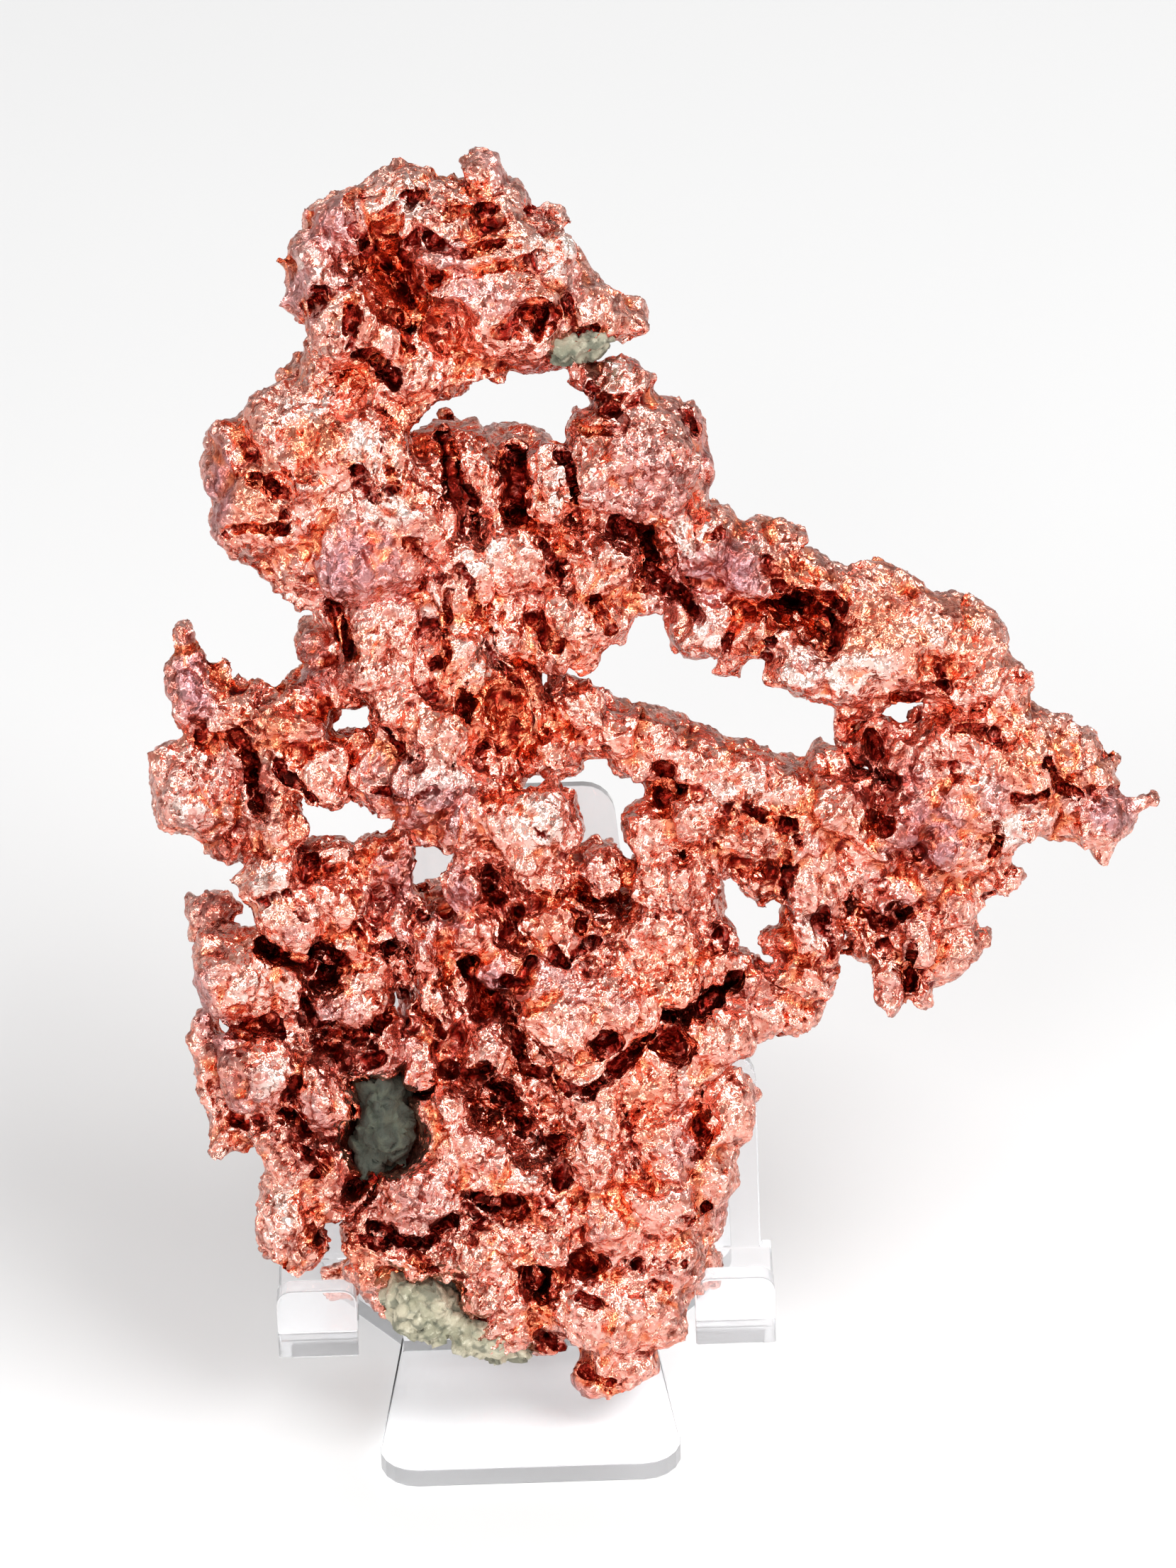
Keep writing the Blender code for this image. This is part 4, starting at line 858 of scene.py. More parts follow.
def points_of(mesh):
    """Vertex places as an array."""
    return read(("co",), mesh.vertices, len(mesh.vertices)).astype(float)


def normals_of(mesh):
    """Vertex normals as an array."""
    return read(("vector",), mesh.vertex_normals, len(mesh.vertices)).astype(float)


def edges_of(mesh):
    """Edges as pairs of vertex numbers."""
    return read(("vertices",), mesh.edges, len(mesh.edges), np.int32, 2)


def relaxed(points, edges, turns, amount=0.5):
    """Points moved part of the way to the mean of their neighbours, several times."""
    count = np.bincount(edges.ravel(), minlength=len(points))[:, None].clip(1)
    for _ in range(turns):
        total = np.zeros_like(points)
        for axis in range(3):
            total[:, axis] = np.bincount(edges[:, 0], points[edges[:, 1], axis], len(points))
            total[:, axis] += np.bincount(edges[:, 1], points[edges[:, 0], axis], len(points))
        points = points + amount * (total / count - points)
    return points


def set_points(mesh, points):
    """Write vertex places back to a mesh."""
    mesh.vertices.foreach_set("co", points.astype(np.float32).ravel())
    mesh.update()


def knobs_on(lumps, draw):
    """Middle-sized knobs on the front and back of each large lump."""
    knobs = []
    for u, v, w, half_u, half_v, half_w, roll in lumps:
        least = min(half_u, half_v)
        if least < KNOB_LEAST_LUMP:
            continue
        for side in (1, 1, -1, -1):
            spot = draw.uniform(0.0, 2.0 * math.pi)
            reach = draw.uniform(0.1, 0.75)
            size = least * draw.uniform(0.3, 0.5)
            rise = math.sqrt(1.0 - reach ** 2) * half_w
            place = (u + reach * half_u * math.cos(spot), v + reach * half_v * math.sin(spot))
            depth = w + side * (rise - 0.35 * size)
            wide = size * draw.uniform(0.9, 1.6)
            knobs.append((*place, depth, wide, size, size * 0.7, draw.uniform(0, 180)))
    return knobs


def nodule_share(u, v):
    """How thickly nodules grow at a place, 0 to 1: the highest bell curve over the zones."""
    share = NODULE_FLOOR
    for zone_u, zone_v, radius, most in NODULE_ZONES:
        reach = ((u - zone_u) ** 2 + (v - zone_v) ** 2) / radius ** 2
        share = max(share, most * math.exp(-0.7 * reach))
    return share


def nodules_on(lumps, draw):
    """Small round nodules scattered over the lumps, mostly round their rims."""
    nodules = []
    least, most = NODULE_RADIUS
    for u, v, w, half_u, half_v, half_w, roll in lumps:
        area = 4.0 * math.pi * (half_u * half_v + half_u * half_w + half_v * half_w) / 3.0 / 100.0
        turn = math.radians(roll)
        for _ in range(int(draw.poisson(area * NODULES_PER_SQUARE_CM))):
            spot = draw.uniform(0.0, 2.0 * math.pi)
            level = math.sin(max(-1.4, min(1.4, draw.normal(0.0, 0.5))))
            flat = math.sqrt(1.0 - level ** 2)
            size = least + (most - least) * draw.random() ** 2.0
            stretch = draw.uniform(0.8, 1.25)
            kept = draw.random()
            spin = draw.uniform(0.0, 180.0)
            x = half_u * flat * math.cos(spot)
            y = half_v * flat * math.sin(spot)
            at_u = u + x * math.cos(turn) - y * math.sin(turn)
            at_v = v + x * math.sin(turn) + y * math.cos(turn)
            if kept < nodule_share(at_u, at_v):
                nodules.append((at_u, at_v, w + half_w * level, size * stretch, size, size, spin))
    return nodules


def patchwork(points, patches):
    """Strength of the nearest patch, 0 to 1: a bell curve over each patch's own oval."""
    u, v = points[:, 0], points[:, 1] / LENGTH_UP
    strength = np.zeros(len(points))
    for centre_u, centre_v, half_u, half_v, most in patches:
        reach = ((u - centre_u) / half_u) ** 2 + ((v - centre_v) / half_v) ** 2
        strength = np.maximum(strength, most * np.exp(-0.9 * reach ** 2))
    return strength


def cleft_depth(points):
    """Depth of the clefts: a bell curve of the distance to each line, the deepest one kept."""
    u = points[:, 0]
    v = points[:, 1] / LENGTH_UP
    depth = np.zeros(len(points))
    for width, most, line in CLEFTS:
        line = np.array(line, dtype=float)
        for start, end in zip(line[:-1], line[1:]):
            low, high = np.minimum(start, end) - 3.0 * width, np.maximum(start, end) + 3.0 * width
            near = np.flatnonzero((u > low[0]) & (u < high[0]) & (v > low[1]) & (v < high[1]))
            along = end - start
            spot = np.stack([u[near], v[near]], axis=1) - start
            share = np.clip((spot @ along) / (along @ along), 0.0, 1.0)
            gap = np.sqrt(((spot - share[:, None] * along) ** 2).sum(axis=1)) / (CLEFT_WIDTH * width)
            depth[near] = np.maximum(depth[near], most * np.exp(-gap ** 2))
    return depth


def press_dents(points):
    """Press the hollows into the front: a dent's depth fades from its middle to its oval rim."""
    for u, v, half_u, half_v, depth in DENTS:
        across = ((points[:, 0] - u) / half_u) ** 2 + ((points[:, 1] / LENGTH_UP - v) / half_v) ** 2
        fade = np.clip(1.0 - across, 0.0, 1.0) ** 0.7
        front = np.clip((points[:, 2] + 1.0) / 4.0, 0.0, 1.0)
        points[:, 2] -= depth * fade * front
    return points


def copper_mesh(branch, lumps, settings):
    """One branch: blocks, knobs and nodules under one skin, then crumpled."""
    draw = np.random.default_rng(SEED + sorted(LUMPS).index(branch))
    knobs = knobs_on(lumps, draw)
    nodules = nodules_on(lumps, draw)
    big, big_faces = block_grid(lumps + knobs, draw, 25, 36)
    small, small_faces = block_grid(nodules, draw, 9, 12)
    points = np.vstack([big, small])
    points[:, 1] *= LENGTH_UP
    points[:, 2] = np.maximum(points[:, 2], -BACK_DEPTH)
    made = mesh_object(branch + "_copper", points, np.vstack([big_faces, small_faces + len(big)]))
    remesh = made.modifiers.new("skin", "REMESH")
    remesh.mode = "VOXEL"
    remesh.voxel_size = settings.voxel * 1.0
    bake(made)
    drop_crumbs(made)
    crumple_skin(made, lumps, settings)
    return made


def seam_gap(points, lumps):
    """Millimetres between the two nearest lumps at each point, 0 on the seam between them.

    The distance to a lump is the distance to its centre times one less the inverse of the same
    distance measured in the lump's own half sizes.
    """
    first = np.full(len(points), 99.0)
    second = np.full(len(points), 99.0)
    for u, v, w, half_u, half_v, half_w, roll in lumps:
        turn = math.radians(roll)
        offset = points - np.array([u, v * LENGTH_UP, w])
        across = offset[:, 0] * math.cos(turn) + offset[:, 1] * math.sin(turn)
        up = offset[:, 1] * math.cos(turn) - offset[:, 0] * math.sin(turn)
        stretched = np.sqrt((across / half_u) ** 2 + (up / half_v) ** 2 + (offset[:, 2] / half_w) ** 2)
        gap = np.sqrt((offset ** 2).sum(axis=1)) * (1.0 - 1.0 / stretched.clip(0.05))
        closer = gap < first
        second = np.where(closer, first, np.minimum(second, gap))
        first = np.where(closer, gap, first)
    return second - first


def drop_crumbs(made):
    """Delete all but the largest loose part of an object."""
    mesh = made.data
    edges = edges_of(mesh).astype(np.int64)
    label = np.arange(len(mesh.vertices))
    while True:
        low = np.minimum(label[edges[:, 0]], label[edges[:, 1]])
        np.minimum.at(label, edges[:, 0], low)
        np.minimum.at(label, edges[:, 1], low)
        label = label[label]
        if np.array_equal(label[edges[:, 0]], label[edges[:, 1]]):
            break
    keep = label == np.bincount(label).argmax()
    if keep.all():
        return
    quads = read(("vertices",), mesh.polygons, len(mesh.polygons), np.int32, 4)
    number = np.cumsum(keep) - 1
    kept = mesh_object("kept", points_of(mesh)[keep], number[quads[keep[quads[:, 0]]]])
    made.data = kept.data
    bpy.data.objects.remove(kept)
    bpy.data.meshes.remove(mesh)


def crumple_skin(made, lumps, settings):
    """Crumple a skin like beaten foil, and keep colour and hollowness as attributes."""
    mesh = made.data
    edges = edges_of(mesh)
    points = relaxed(press_dents(points_of(mesh)), edges, 5)
    open_seam = step_up(smooth_noise(points, 16.0, 83)[:, 0], -0.4, 0.4)
    seam = np.exp(-(seam_gap(points, lumps) / SEAM_WIDTH) ** 2) * (0.25 + 0.75 * open_seam)
    set_points(mesh, points)
    front = step_up(normals_of(mesh)[:, 2], 0.0, 0.5)
    lay = points + 0.9 * smooth_noise(points, 3.4, 79) + 0.3 * smooth_noise(points, 1.5, 89)
    cleft = cleft_depth(lay) * front
    points = points + settings.warp * (smooth_noise(points, 8.5, 71) + 0.6 * smooth_noise(points, 4.0, 73))
    points[:, 2] -= settings.cleft * cleft
    set_points(mesh, points)
    normals = normals_of(mesh)
    drawn = points * PLATE_STRETCH
    wide_tilt, wide_dome, wide_border = crumpled(drawn, WIDE_PLATE, 3)
    mid_tilt, mid_dome, mid_border = crumpled(drawn, MID_PLATE, 11)
    fine_tilt, fine_dome, _ = crumpled(points, FINE_PLATE, 23)
    rough = step_up(smooth_noise(points, 14.0, 5)[:, 0], -0.35, 0.45)
    height = settings.crumple * (wide_tilt * step_up(wide_border, 0.0, 0.2) + 0.35 * wide_dome)
    height -= settings.inset + settings.seam * seam
    height -= settings.crease * (1.0 - step_up(wide_border, 0.0, 0.11)) * (0.3 + 0.7 * rough)
    height += settings.crumple * (0.6 * mid_tilt * step_up(mid_border, 0.0, 0.2) + 0.15 * mid_dome)
    height -= 0.4 * settings.crease * (1.0 - step_up(mid_border, 0.0, 0.14)) * (0.2 + 0.8 * rough)
    height += settings.crumple * (0.22 * wrinkles(points, 3.2, 61) + 0.2 * wrinkles(points, 1.7, 67))
    height += settings.crumple * (0.24 * fine_tilt + 0.25 * fine_dome) * (0.3 + 0.7 * rough)
    points = points + normals * height[:, None]
    set_points(mesh, points)
    # Painted shade mask: the deeper a point lies in a hollow, seam or cleft, the darker red it is
    # coloured.
    hollow = 0.5 + 0.8 * (hollow_depth(points, edges, normals_of(mesh)) - 0.5)
    # Painted shade over the dark patches, strongest on the front.
    dark = patchwork(lay, SHADE_PATCHES) * (0.4 + 0.6 * front)
    hollow = np.maximum(hollow, 0.5 + 0.28 * seam)
    store(mesh, "hollow", np.maximum(hollow, 0.5 + np.minimum(0.13 * cleft, 0.45)))
    store(mesh, "rough", rough)
    store(mesh, "mauve", patchwork(lay, MAUVE) * front)
    store(mesh, "warm", patchwork(lay, WARM) * front)
    # Painted highlight mask over the bright patches.
    store(mesh, "bright", patchwork(lay, HIGHLIGHT_PATCHES) * front)
    store(mesh, "dark", dark)


def hollow_depth(points, edges, normals):
    """How far each point lies below its surroundings, 0 to 1, by comparing with a relaxed skin."""
    wide = relaxed(points, edges, 30)
    depth = ((wide - points) * normals).sum(axis=1)
    return np.clip(0.5 + depth / 1.6, 0.0, 1.0)


def store(mesh, name, values):
    """Keep one number for each vertex as an attribute."""
    layer = mesh.attributes.new(name, "FLOAT", "POINT")
    layer.data.foreach_set("value", values.astype(np.float32))


def finish_piece(made, node, material):
    """Place a piece in the frame and let it stand for its node."""
    made.data.transform(plane_matrix())
    made.data.shade_smooth()
    made.data.materials.clear()
    made.data.materials.append(material)
    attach(made, "root")
    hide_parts(node)


def group_tree(name, inputs, outputs):
    """A shader node group with named sockets, and its two end nodes."""
    tree = bpy.data.node_groups.new(name, "ShaderNodeTree")
    for label, kind, default in inputs:
        socket = tree.interface.new_socket(label, in_out="INPUT", socket_type=kind)
        socket.default_value = default
    for label, kind in outputs:
        tree.interface.new_socket(label, in_out="OUTPUT", socket_type=kind)
    return tree, tree.nodes.new("NodeGroupInput"), tree.nodes.new("NodeGroupOutput")


def add(tree, kind, settings=None, **inputs):
    """A node with its settings and input values or links."""
    node = tree.nodes.new(kind)
    for label, value in (settings or {}).items():
        setattr(node, label, value)
    for label, value in inputs.items():
        socket = node.inputs[label.replace("_", " ")]
        if isinstance(value, bpy.types.NodeSocket):
            tree.links.new(value, socket)
        else:
            socket.default_value = value
    return node


def maths(tree, operation, first, second=0.0, clamp=False):
    """A Math node's result."""
    node = tree.nodes.new("ShaderNodeMath")
    node.operation = operation
    node.use_clamp = clamp
    for socket, value in zip(node.inputs, (first, second)):
        if isinstance(value, bpy.types.NodeSocket):
            tree.links.new(value, socket)
        else:
            socket.default_value = value
    return node.outputs[0]


def span(tree, value, low, high):
    """A value mapped smoothly from low and high to 0 and 1."""
    node = add(tree, "ShaderNodeMapRange", {"interpolation_type": "SMOOTHSTEP"}, Value=value)
    node.inputs["From Min"].default_value = low
    node.inputs["From Max"].default_value = high
    return node.outputs["Result"]


def mixed(tree, factor, first, second, blend="MIX"):
    """Two colours mixed by a factor."""
    node = tree.nodes.new("ShaderNodeMix")
    node.data_type = "RGBA"
    node.blend_type = blend
    for index, value in ((0, factor), (6, first), (7, second)):
        socket = node.inputs[index]
        if isinstance(value, bpy.types.NodeSocket):
            tree.links.new(value, socket)
        else:
            socket.default_value = value
    return node.outputs[2]


def colour4(colour, alpha=1.0):
    """A colour property as four numbers."""
    return (*colour[:3], alpha)


# Painted shade that the copper takes in the deepest cores, the painted highlight on its brightest facets
# and, as a multiple of its own colour, the painted shade in the foil's valleys.
CORE_SHADE = (0.035, 0.004, 0.003, 1.0)
HIGHLIGHT_COLOUR = (1.0, 0.84, 0.76, 1.0)
VALLEY_SHADE = (0.66, 0.38, 0.30, 1.0)


def copper_colour_group(settings):
    """Colour and dullness of the copper from its patches, hollows and foil: painted shade in the hollows,
    clefts, dark patches and foil valleys, a painted bounce glow in the middling hollows and painted
    highlights on the bright patches.
    """
    names = ("Hollow", "Rough", "Mauve", "Warm", "Bright", "Dark", "Valley")
    inputs = [(name, "NodeSocketFloat", 0.0) for name in names]
    tree, start, end = group_tree(
        "Copper colour", inputs, [("Color", "NodeSocketColor"), ("Dull", "NodeSocketFloat")]
    )
    given = start.outputs
    place = tree.nodes.new("ShaderNodeTexCoord").outputs["Object"]
    broad = add(tree, "ShaderNodeTexNoise", None, Vector=place, Scale=95.0, Detail=2.0).outputs["Fac"]
    warmth = add(tree, "ShaderNodeTexNoise", None, Vector=place, Scale=150.0, Detail=3.0).outputs["Fac"]
    speck = add(tree, "ShaderNodeTexNoise", None, Vector=place, Scale=1400.0, Detail=2.0).outputs["Fac"]
    smooth = maths(tree, "SUBTRACT", 1.0, given["Rough"])
    stray = maths(tree, "MULTIPLY", span(tree, broad, 0.5, 0.66), maths(tree, "MULTIPLY", smooth, 0.55))
    dull = maths(tree, "MAXIMUM", stray, maths(tree, "MULTIPLY", given["Mauve"], 0.9))
    # Painted bounce light: middling hollows glow orange.
    bounce_glow = maths(tree, "MULTIPLY", span(tree, warmth, 0.42, 0.58), span(tree, given["Hollow"], 0.46, 0.64))
    bounce_glow = maths(tree, "MULTIPLY", bounce_glow, 0.9)
    warm_and_bounce_glow = maths(tree, "MAXIMUM", bounce_glow, maths(tree, "MULTIPLY", given["Warm"], 0.85))
    glint = add(tree, "ShaderNodeTexNoise", None, Vector=place, Scale=420.0, Detail=3.0).outputs["Fac"]
    # Painted shade: the dark patches and the deepest hollows take the dark red hollow colour, broken up by
    # noise.
    shade = maths(tree, "MULTIPLY", given["Dark"], span(tree, glint, 0.36, 0.56))
    ragged = maths(tree, "MULTIPLY", maths(tree, "SUBTRACT", glint, 0.5), 0.5)
    sunk = maths(tree, "ADD", given["Hollow"], ragged)
    deep = maths(tree, "MAXIMUM", span(tree, sunk, 0.66, 0.90), maths(tree, "MULTIPLY", shade, 0.85))
    clean = mixed(tree, span(tree, speck, 0.35, 0.7), colour4(settings.salmon), colour4(settings.pale))
    colour = mixed(tree, dull, clean, colour4(settings.mauve))
    colour = mixed(tree, warm_and_bounce_glow, colour, colour4(settings.orange))
    # Painted shade: the foil's valleys are darkened.
    valley_shade = maths(tree, "MULTIPLY", given["Valley"], 0.75)
    colour = mixed(tree, valley_shade, colour, mixed(tree, 1.0, colour, VALLEY_SHADE, "MULTIPLY"))
    # Painted highlight: the bright patches turn near white.
    highlight_mask = maths(tree, "MULTIPLY", given["Bright"], span(tree, glint, 0.40, 0.52))
    colour = mixed(tree, maths(tree, "MULTIPLY", highlight_mask, 0.9), colour, HIGHLIGHT_COLOUR)
    # Painted shade, darkest red in the deepest cores.
    core_shade = mixed(tree, span(tree, sunk, 0.84, 1.0), colour4(settings.hollow), CORE_SHADE)
    colour = mixed(tree, deep, colour, core_shade)
    tree.links.new(colour, end.inputs["Color"])
    tree.links.new(maths(tree, "MAXIMUM", dull, deep), end.inputs["Dull"])
    return tree


def facet_tips(tree, place, size, tip):
    """A vector that tips the normal by one random amount over each cell of a grain."""
    cells = add(tree, "ShaderNodeTexVoronoi", None, Vector=place, Scale=size)
    lean = tree.nodes.new("ShaderNodeVectorMath")
    lean.operation = "SUBTRACT"
    tree.links.new(cells.outputs["Color"], lean.inputs[0])
    lean.inputs[1].default_value = (0.5, 0.5, 0.5)
    scale = tree.nodes.new("ShaderNodeVectorMath")
    scale.operation = "SCALE"
    tree.links.new(lean.outputs[0], scale.inputs[0])
    tree.links.new(tip, scale.inputs["Scale"])
    return scale.outputs[0]


def foil_group():
    """Crinkled foil: flat facets tipped at random over two grains, and a mask of its valleys where painted
    shade darkens the colour.
    """
    tree, start, end = group_tree(
        "Crinkled foil",
        [("Rough", "NodeSocketFloat", 0.5), ("Tip", "NodeSocketFloat", 0.8)],
        [("Normal", "NodeSocketVector"), ("Valley", "NodeSocketFloat")],
    )
    place = tree.nodes.new("ShaderNodeTexCoord").outputs["Object"]
    warp = add(tree, "ShaderNodeTexNoise", None, Vector=place, Scale=500.0, Detail=3.0).outputs["Color"]
    shifted = tree.nodes.new("ShaderNodeVectorMath")
    shifted.operation = "MULTIPLY_ADD"
    tree.links.new(warp, shifted.inputs[0])
    shifted.inputs[1].default_value = (0.0020, 0.0020, 0.0020)
    tree.links.new(place, shifted.inputs[2])
    rough = maths(tree, "ADD", maths(tree, "MULTIPLY", start.outputs["Rough"], 0.3), 0.7)
    tip = maths(tree, "MULTIPLY", rough, start.outputs["Tip"])
    wide = facet_tips(tree, shifted.outputs[0], 760.0, tip)
    slight = facet_tips(tree, shifted.outputs[0], 1700.0, maths(tree, "MULTIPLY", tip, 0.55))
    grain = add(tree, "ShaderNodeTexNoise", None, Vector=shifted.outputs[0], Scale=800.0, Detail=2.0)
    bump = add(tree, "ShaderNodeBump", None, Height=grain.outputs["Fac"], Strength=0.6, Distance=0.0008)
    total = bump.outputs["Normal"]
    for lean in (wide, slight):
        sum_node = tree.nodes.new("ShaderNodeVectorMath")
        sum_node.operation = "ADD"
        tree.links.new(total, sum_node.inputs[0])
        tree.links.new(lean, sum_node.inputs[1])
        total = sum_node.outputs[0]
    unit = tree.nodes.new("ShaderNodeVectorMath")
    unit.operation = "NORMALIZE"
    tree.links.new(total, unit.inputs[0])
    tree.links.new(unit.outputs[0], end.inputs["Normal"])
    # Mask of the foil's valleys, for painted shade.
    low = maths(tree, "SUBTRACT", 1.0, span(tree, grain.outputs["Fac"], 0.40, 0.54))
    tree.links.new(low, end.inputs["Valley"])
    return tree


def attribute(tree, name):
    """A vertex attribute's value."""
    node = tree.nodes.new("ShaderNodeAttribute")
    node.attribute_name = name
    return node.outputs["Fac"]


def use_group(tree, group, **inputs):
    """A placed node group."""
    node = tree.nodes.new("ShaderNodeGroup")
    node.node_tree = group
    for label, value in inputs.items():
        if isinstance(value, bpy.types.NodeSocket):
            tree.links.new(value, node.inputs[label])
        else:
            node.inputs[label].default_value = value
    return node


# Attributes of the skin that the copper's colour reads: hollow and dark carry painted shade, bright
# painted highlights.
MARKS = ("hollow", "mauve", "warm", "bright", "dark")


def copper_material(settings):
    """Rough native copper."""
    material = bpy.data.materials.new("native_copper")
    material.use_nodes = True
    tree = material.node_tree
    shader = tree.nodes["Principled BSDF"]
    rough = attribute(tree, "rough")
    foil = use_group(tree, foil_group(), Rough=rough, Tip=1.05)
    marks = {name.capitalize(): attribute(tree, name) for name in MARKS}
    colour = use_group(
        tree, copper_colour_group(settings), Rough=rough, Valley=foil.outputs["Valley"], **marks
    )
    tree.links.new(colour.outputs["Color"], shader.inputs["Base Color"])
    tree.links.new(foil.outputs["Normal"], shader.inputs["Normal"])
    gloss = tree.nodes.new("ShaderNodeMapRange")
    tree.links.new(colour.outputs["Dull"], gloss.inputs["Value"])
    gloss.inputs["To Min"].default_value = 0.17
    gloss.inputs["To Max"].default_value = 0.34
    tree.links.new(gloss.outputs["Result"], shader.inputs["Roughness"])
    shader.inputs["Metallic"].default_value = 1.0
    return material


def rock_material(settings):
    """Weathered host rock, pale outside and darkened to green-grey as painted shade where it lies behind
    and under the copper.
    """
    material = bpy.data.materials.new("host_rock")
    material.use_nodes = True
    tree = material.node_tree
    shader = tree.nodes["Principled BSDF"]
    place = tree.nodes.new("ShaderNodeTexCoord").outputs["Object"]
    grain = add(tree, "ShaderNodeTexNoise", None, Vector=place, Scale=700.0, Detail=4.0, Roughness=0.7)
    patch = add(tree, "ShaderNodeTexNoise", None, Vector=place, Scale=160.0, Detail=3.0)
    pits = add(tree, "ShaderNodeTexVoronoi", None, Vector=place, Scale=520.0)
    stain = span(tree, patch.outputs["Fac"], 0.38, 0.62)
    base = mixed(tree, stain, colour4(settings.pale), ROCK_STAIN)
    # Painted shade behind and under the copper.
    base = mixed(tree, span(tree, attribute(tree, "painted_shade"), 0.2, 0.8), base, colour4(settings.dark))
    unshaded = maths(tree, "SUBTRACT", 1.0, attribute(tree, "painted_shade"))
    flecks = maths(tree, "MULTIPLY", span(tree, grain.outputs["Fac"], 0.5, 0.7), unshaded)
    base = mixed(tree, flecks, base, ROCK_FLECK)
    streaks = span(tree, pits.outputs["Distance"], 0.5, 0.75)
    base = mixed(tree, maths(tree, "MULTIPLY", streaks, 0.7), base, ROCK_STREAK)
    tree.links.new(base, shader.inputs["Base Color"])
    bump = add(tree, "ShaderNodeBump", None, Height=grain.outputs["Fac"], Strength=0.8, Distance=0.0006)
    tree.links.new(bump.outputs["Normal"], shader.inputs["Normal"])
    shader.inputs["Roughness"].default_value = 0.85
    return material


def acrylic_material():
    """Clear polished acrylic that lets lamplight through, with faint smears on its faces."""
    material = bpy.data.materials.new("clear_acrylic")
    material.use_nodes = True
    tree = material.node_tree
    shader = tree.nodes["Principled BSDF"]
    shader.inputs["Base Color"].default_value = (0.985, 0.99, 1.0, 1.0)
    shader.inputs["Transmission Weight"].default_value = 0.88
    shader.inputs["IOR"].default_value = 1.49
    place = tree.nodes.new("ShaderNodeTexCoord").outputs["Object"]
    smear = add(tree, "ShaderNodeTexNoise", None, Vector=place, Scale=60.0, Detail=4.0)
    gloss = tree.nodes.new("ShaderNodeMapRange")
    tree.links.new(smear.outputs["Fac"], gloss.inputs["Value"])
    gloss.inputs["To Min"].default_value = 0.01
    gloss.inputs["To Max"].default_value = 0.05
    tree.links.new(gloss.outputs["Result"], shader.inputs["Roughness"])
    clear = tree.nodes.new("ShaderNodeBsdfTransparent")
    clear.inputs["Color"].default_value = (0.985, 0.985, 0.99, 1.0)
    lamp_ray = tree.nodes.new("ShaderNodeLightPath").outputs["Is Shadow Ray"]
    mix = tree.nodes.new("ShaderNodeMixShader")
    tree.links.new(lamp_ray, mix.inputs[0])
    tree.links.new(shader.outputs[0], mix.inputs[1])
    tree.links.new(clear.outputs[0], mix.inputs[2])
    tree.links.new(mix.outputs[0], tree.nodes["Material Output"].inputs["Surface"])
    return material


# Colours that stain, fleck and streak the rock.
ROCK_STAIN = (0.30, 0.29, 0.20, 1.0)
ROCK_FLECK = (0.66, 0.62, 0.48, 1.0)
ROCK_STREAK = (0.09, 0.10, 0.07, 1.0)
# Voxel of the rock's skin in mm, and how much painted shade the rock under the crown takes, 0 to 1.
ROCK_VOXEL = 0.45
CROWN_SHADE = 0.45


def rock_mesh(name, lumps):
    """A piece of host rock: blocks under one skin, broken into rough flat faces."""
    draw = np.random.default_rng(SEED + len(name))
    points, quads = block_grid(lumps, draw, 21, 28)
    points[:, 1] *= LENGTH_UP
    made = mesh_object(name + "_stone", points, quads)
    remesh = made.modifiers.new("skin", "REMESH")
    remesh.mode = "VOXEL"
    remesh.voxel_size = ROCK_VOXEL
    bake(made)
    drop_crumbs(made)
    mesh = made.data
    edges = edges_of(mesh)
    points = relaxed(points_of(mesh), edges, 4)
    set_points(mesh, points)
    tilt, _, border = crumpled(points, 2.8, 41)
    fine, _, fine_border = crumpled(points, 1.3, 47)
    height = 1.5 * tilt * step_up(border, 0.0, 0.1) - 0.6 * (1.0 - step_up(border, 0.0, 0.12))
    height += 0.45 * fine * step_up(fine_border, 0.0, 0.2)
    set_points(mesh, points + normals_of(mesh) * height[:, None])
    # Painted shade mask: the host rock darkens from 24 to 32 mm up, where it lies behind the copper, and
    # the crown's rock partly.
    low = step_up(points[:, 1], 24.0, 32.0)
    store(mesh, "painted_shade", np.where(points[:, 1] < 100.0, low, CROWN_SHADE))
    return made


def clear_piece(name):
    """A copy of a flat-faced node, with its doubled points merged and its flat faces joined."""
    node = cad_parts[name]
    made = bpy.data.objects.new(name + "_clear", node.data.copy())
    bpy.context.scene.collection.objects.link(made)
    shape = bmesh.new()
    shape.from_mesh(made.data)
    bmesh.ops.remove_doubles(shape, verts=shape.verts, dist=1e-6)
    bmesh.ops.dissolve_limit(shape, angle_limit=math.radians(1.0), verts=shape.verts, edges=shape.edges)
    shape.to_mesh(made.data)
    shape.free()
    return made


# Where the lights aim, in metres.
LIGHT_AIM = (0.01, 0.0, 0.09)
# Soft panels: name, place, width, height in metres, and radiance.
PANELS = [
    ("key", (0.50, -0.30, 0.95), 0.60, 0.55, 8.0),
    ("overhead", (-0.1, 0.5, 1.0), 0.7, 0.3, 3.0),
    ("left_front", (-0.85, -1.0, 0.40), 0.35, 0.8, 6.5),
    ("right_front", (0.75, -1.1, 0.30), 0.30, 0.6, 6.5),
    ("high_front", (-0.20, -0.80, 0.75), 0.35, 0.25, 8.0),
]


def soft_panel(name, place, target, width, height, radiance):
    """A soft rectangular light aimed at a point; its power is radiance times pi times area."""
    lamp = bpy.data.lights.new(name, "AREA")
    lamp.shape = "RECTANGLE"
    lamp.size = width
    lamp.size_y = height
    lamp.energy = radiance * math.pi * width * height
    made = bpy.data.objects.new(name, lamp)
    bpy.context.scene.collection.objects.link(made)
    made.location = place
    made.rotation_euler = (Vector(target) - Vector(place)).to_track_quat("-Z", "Y").to_euler()


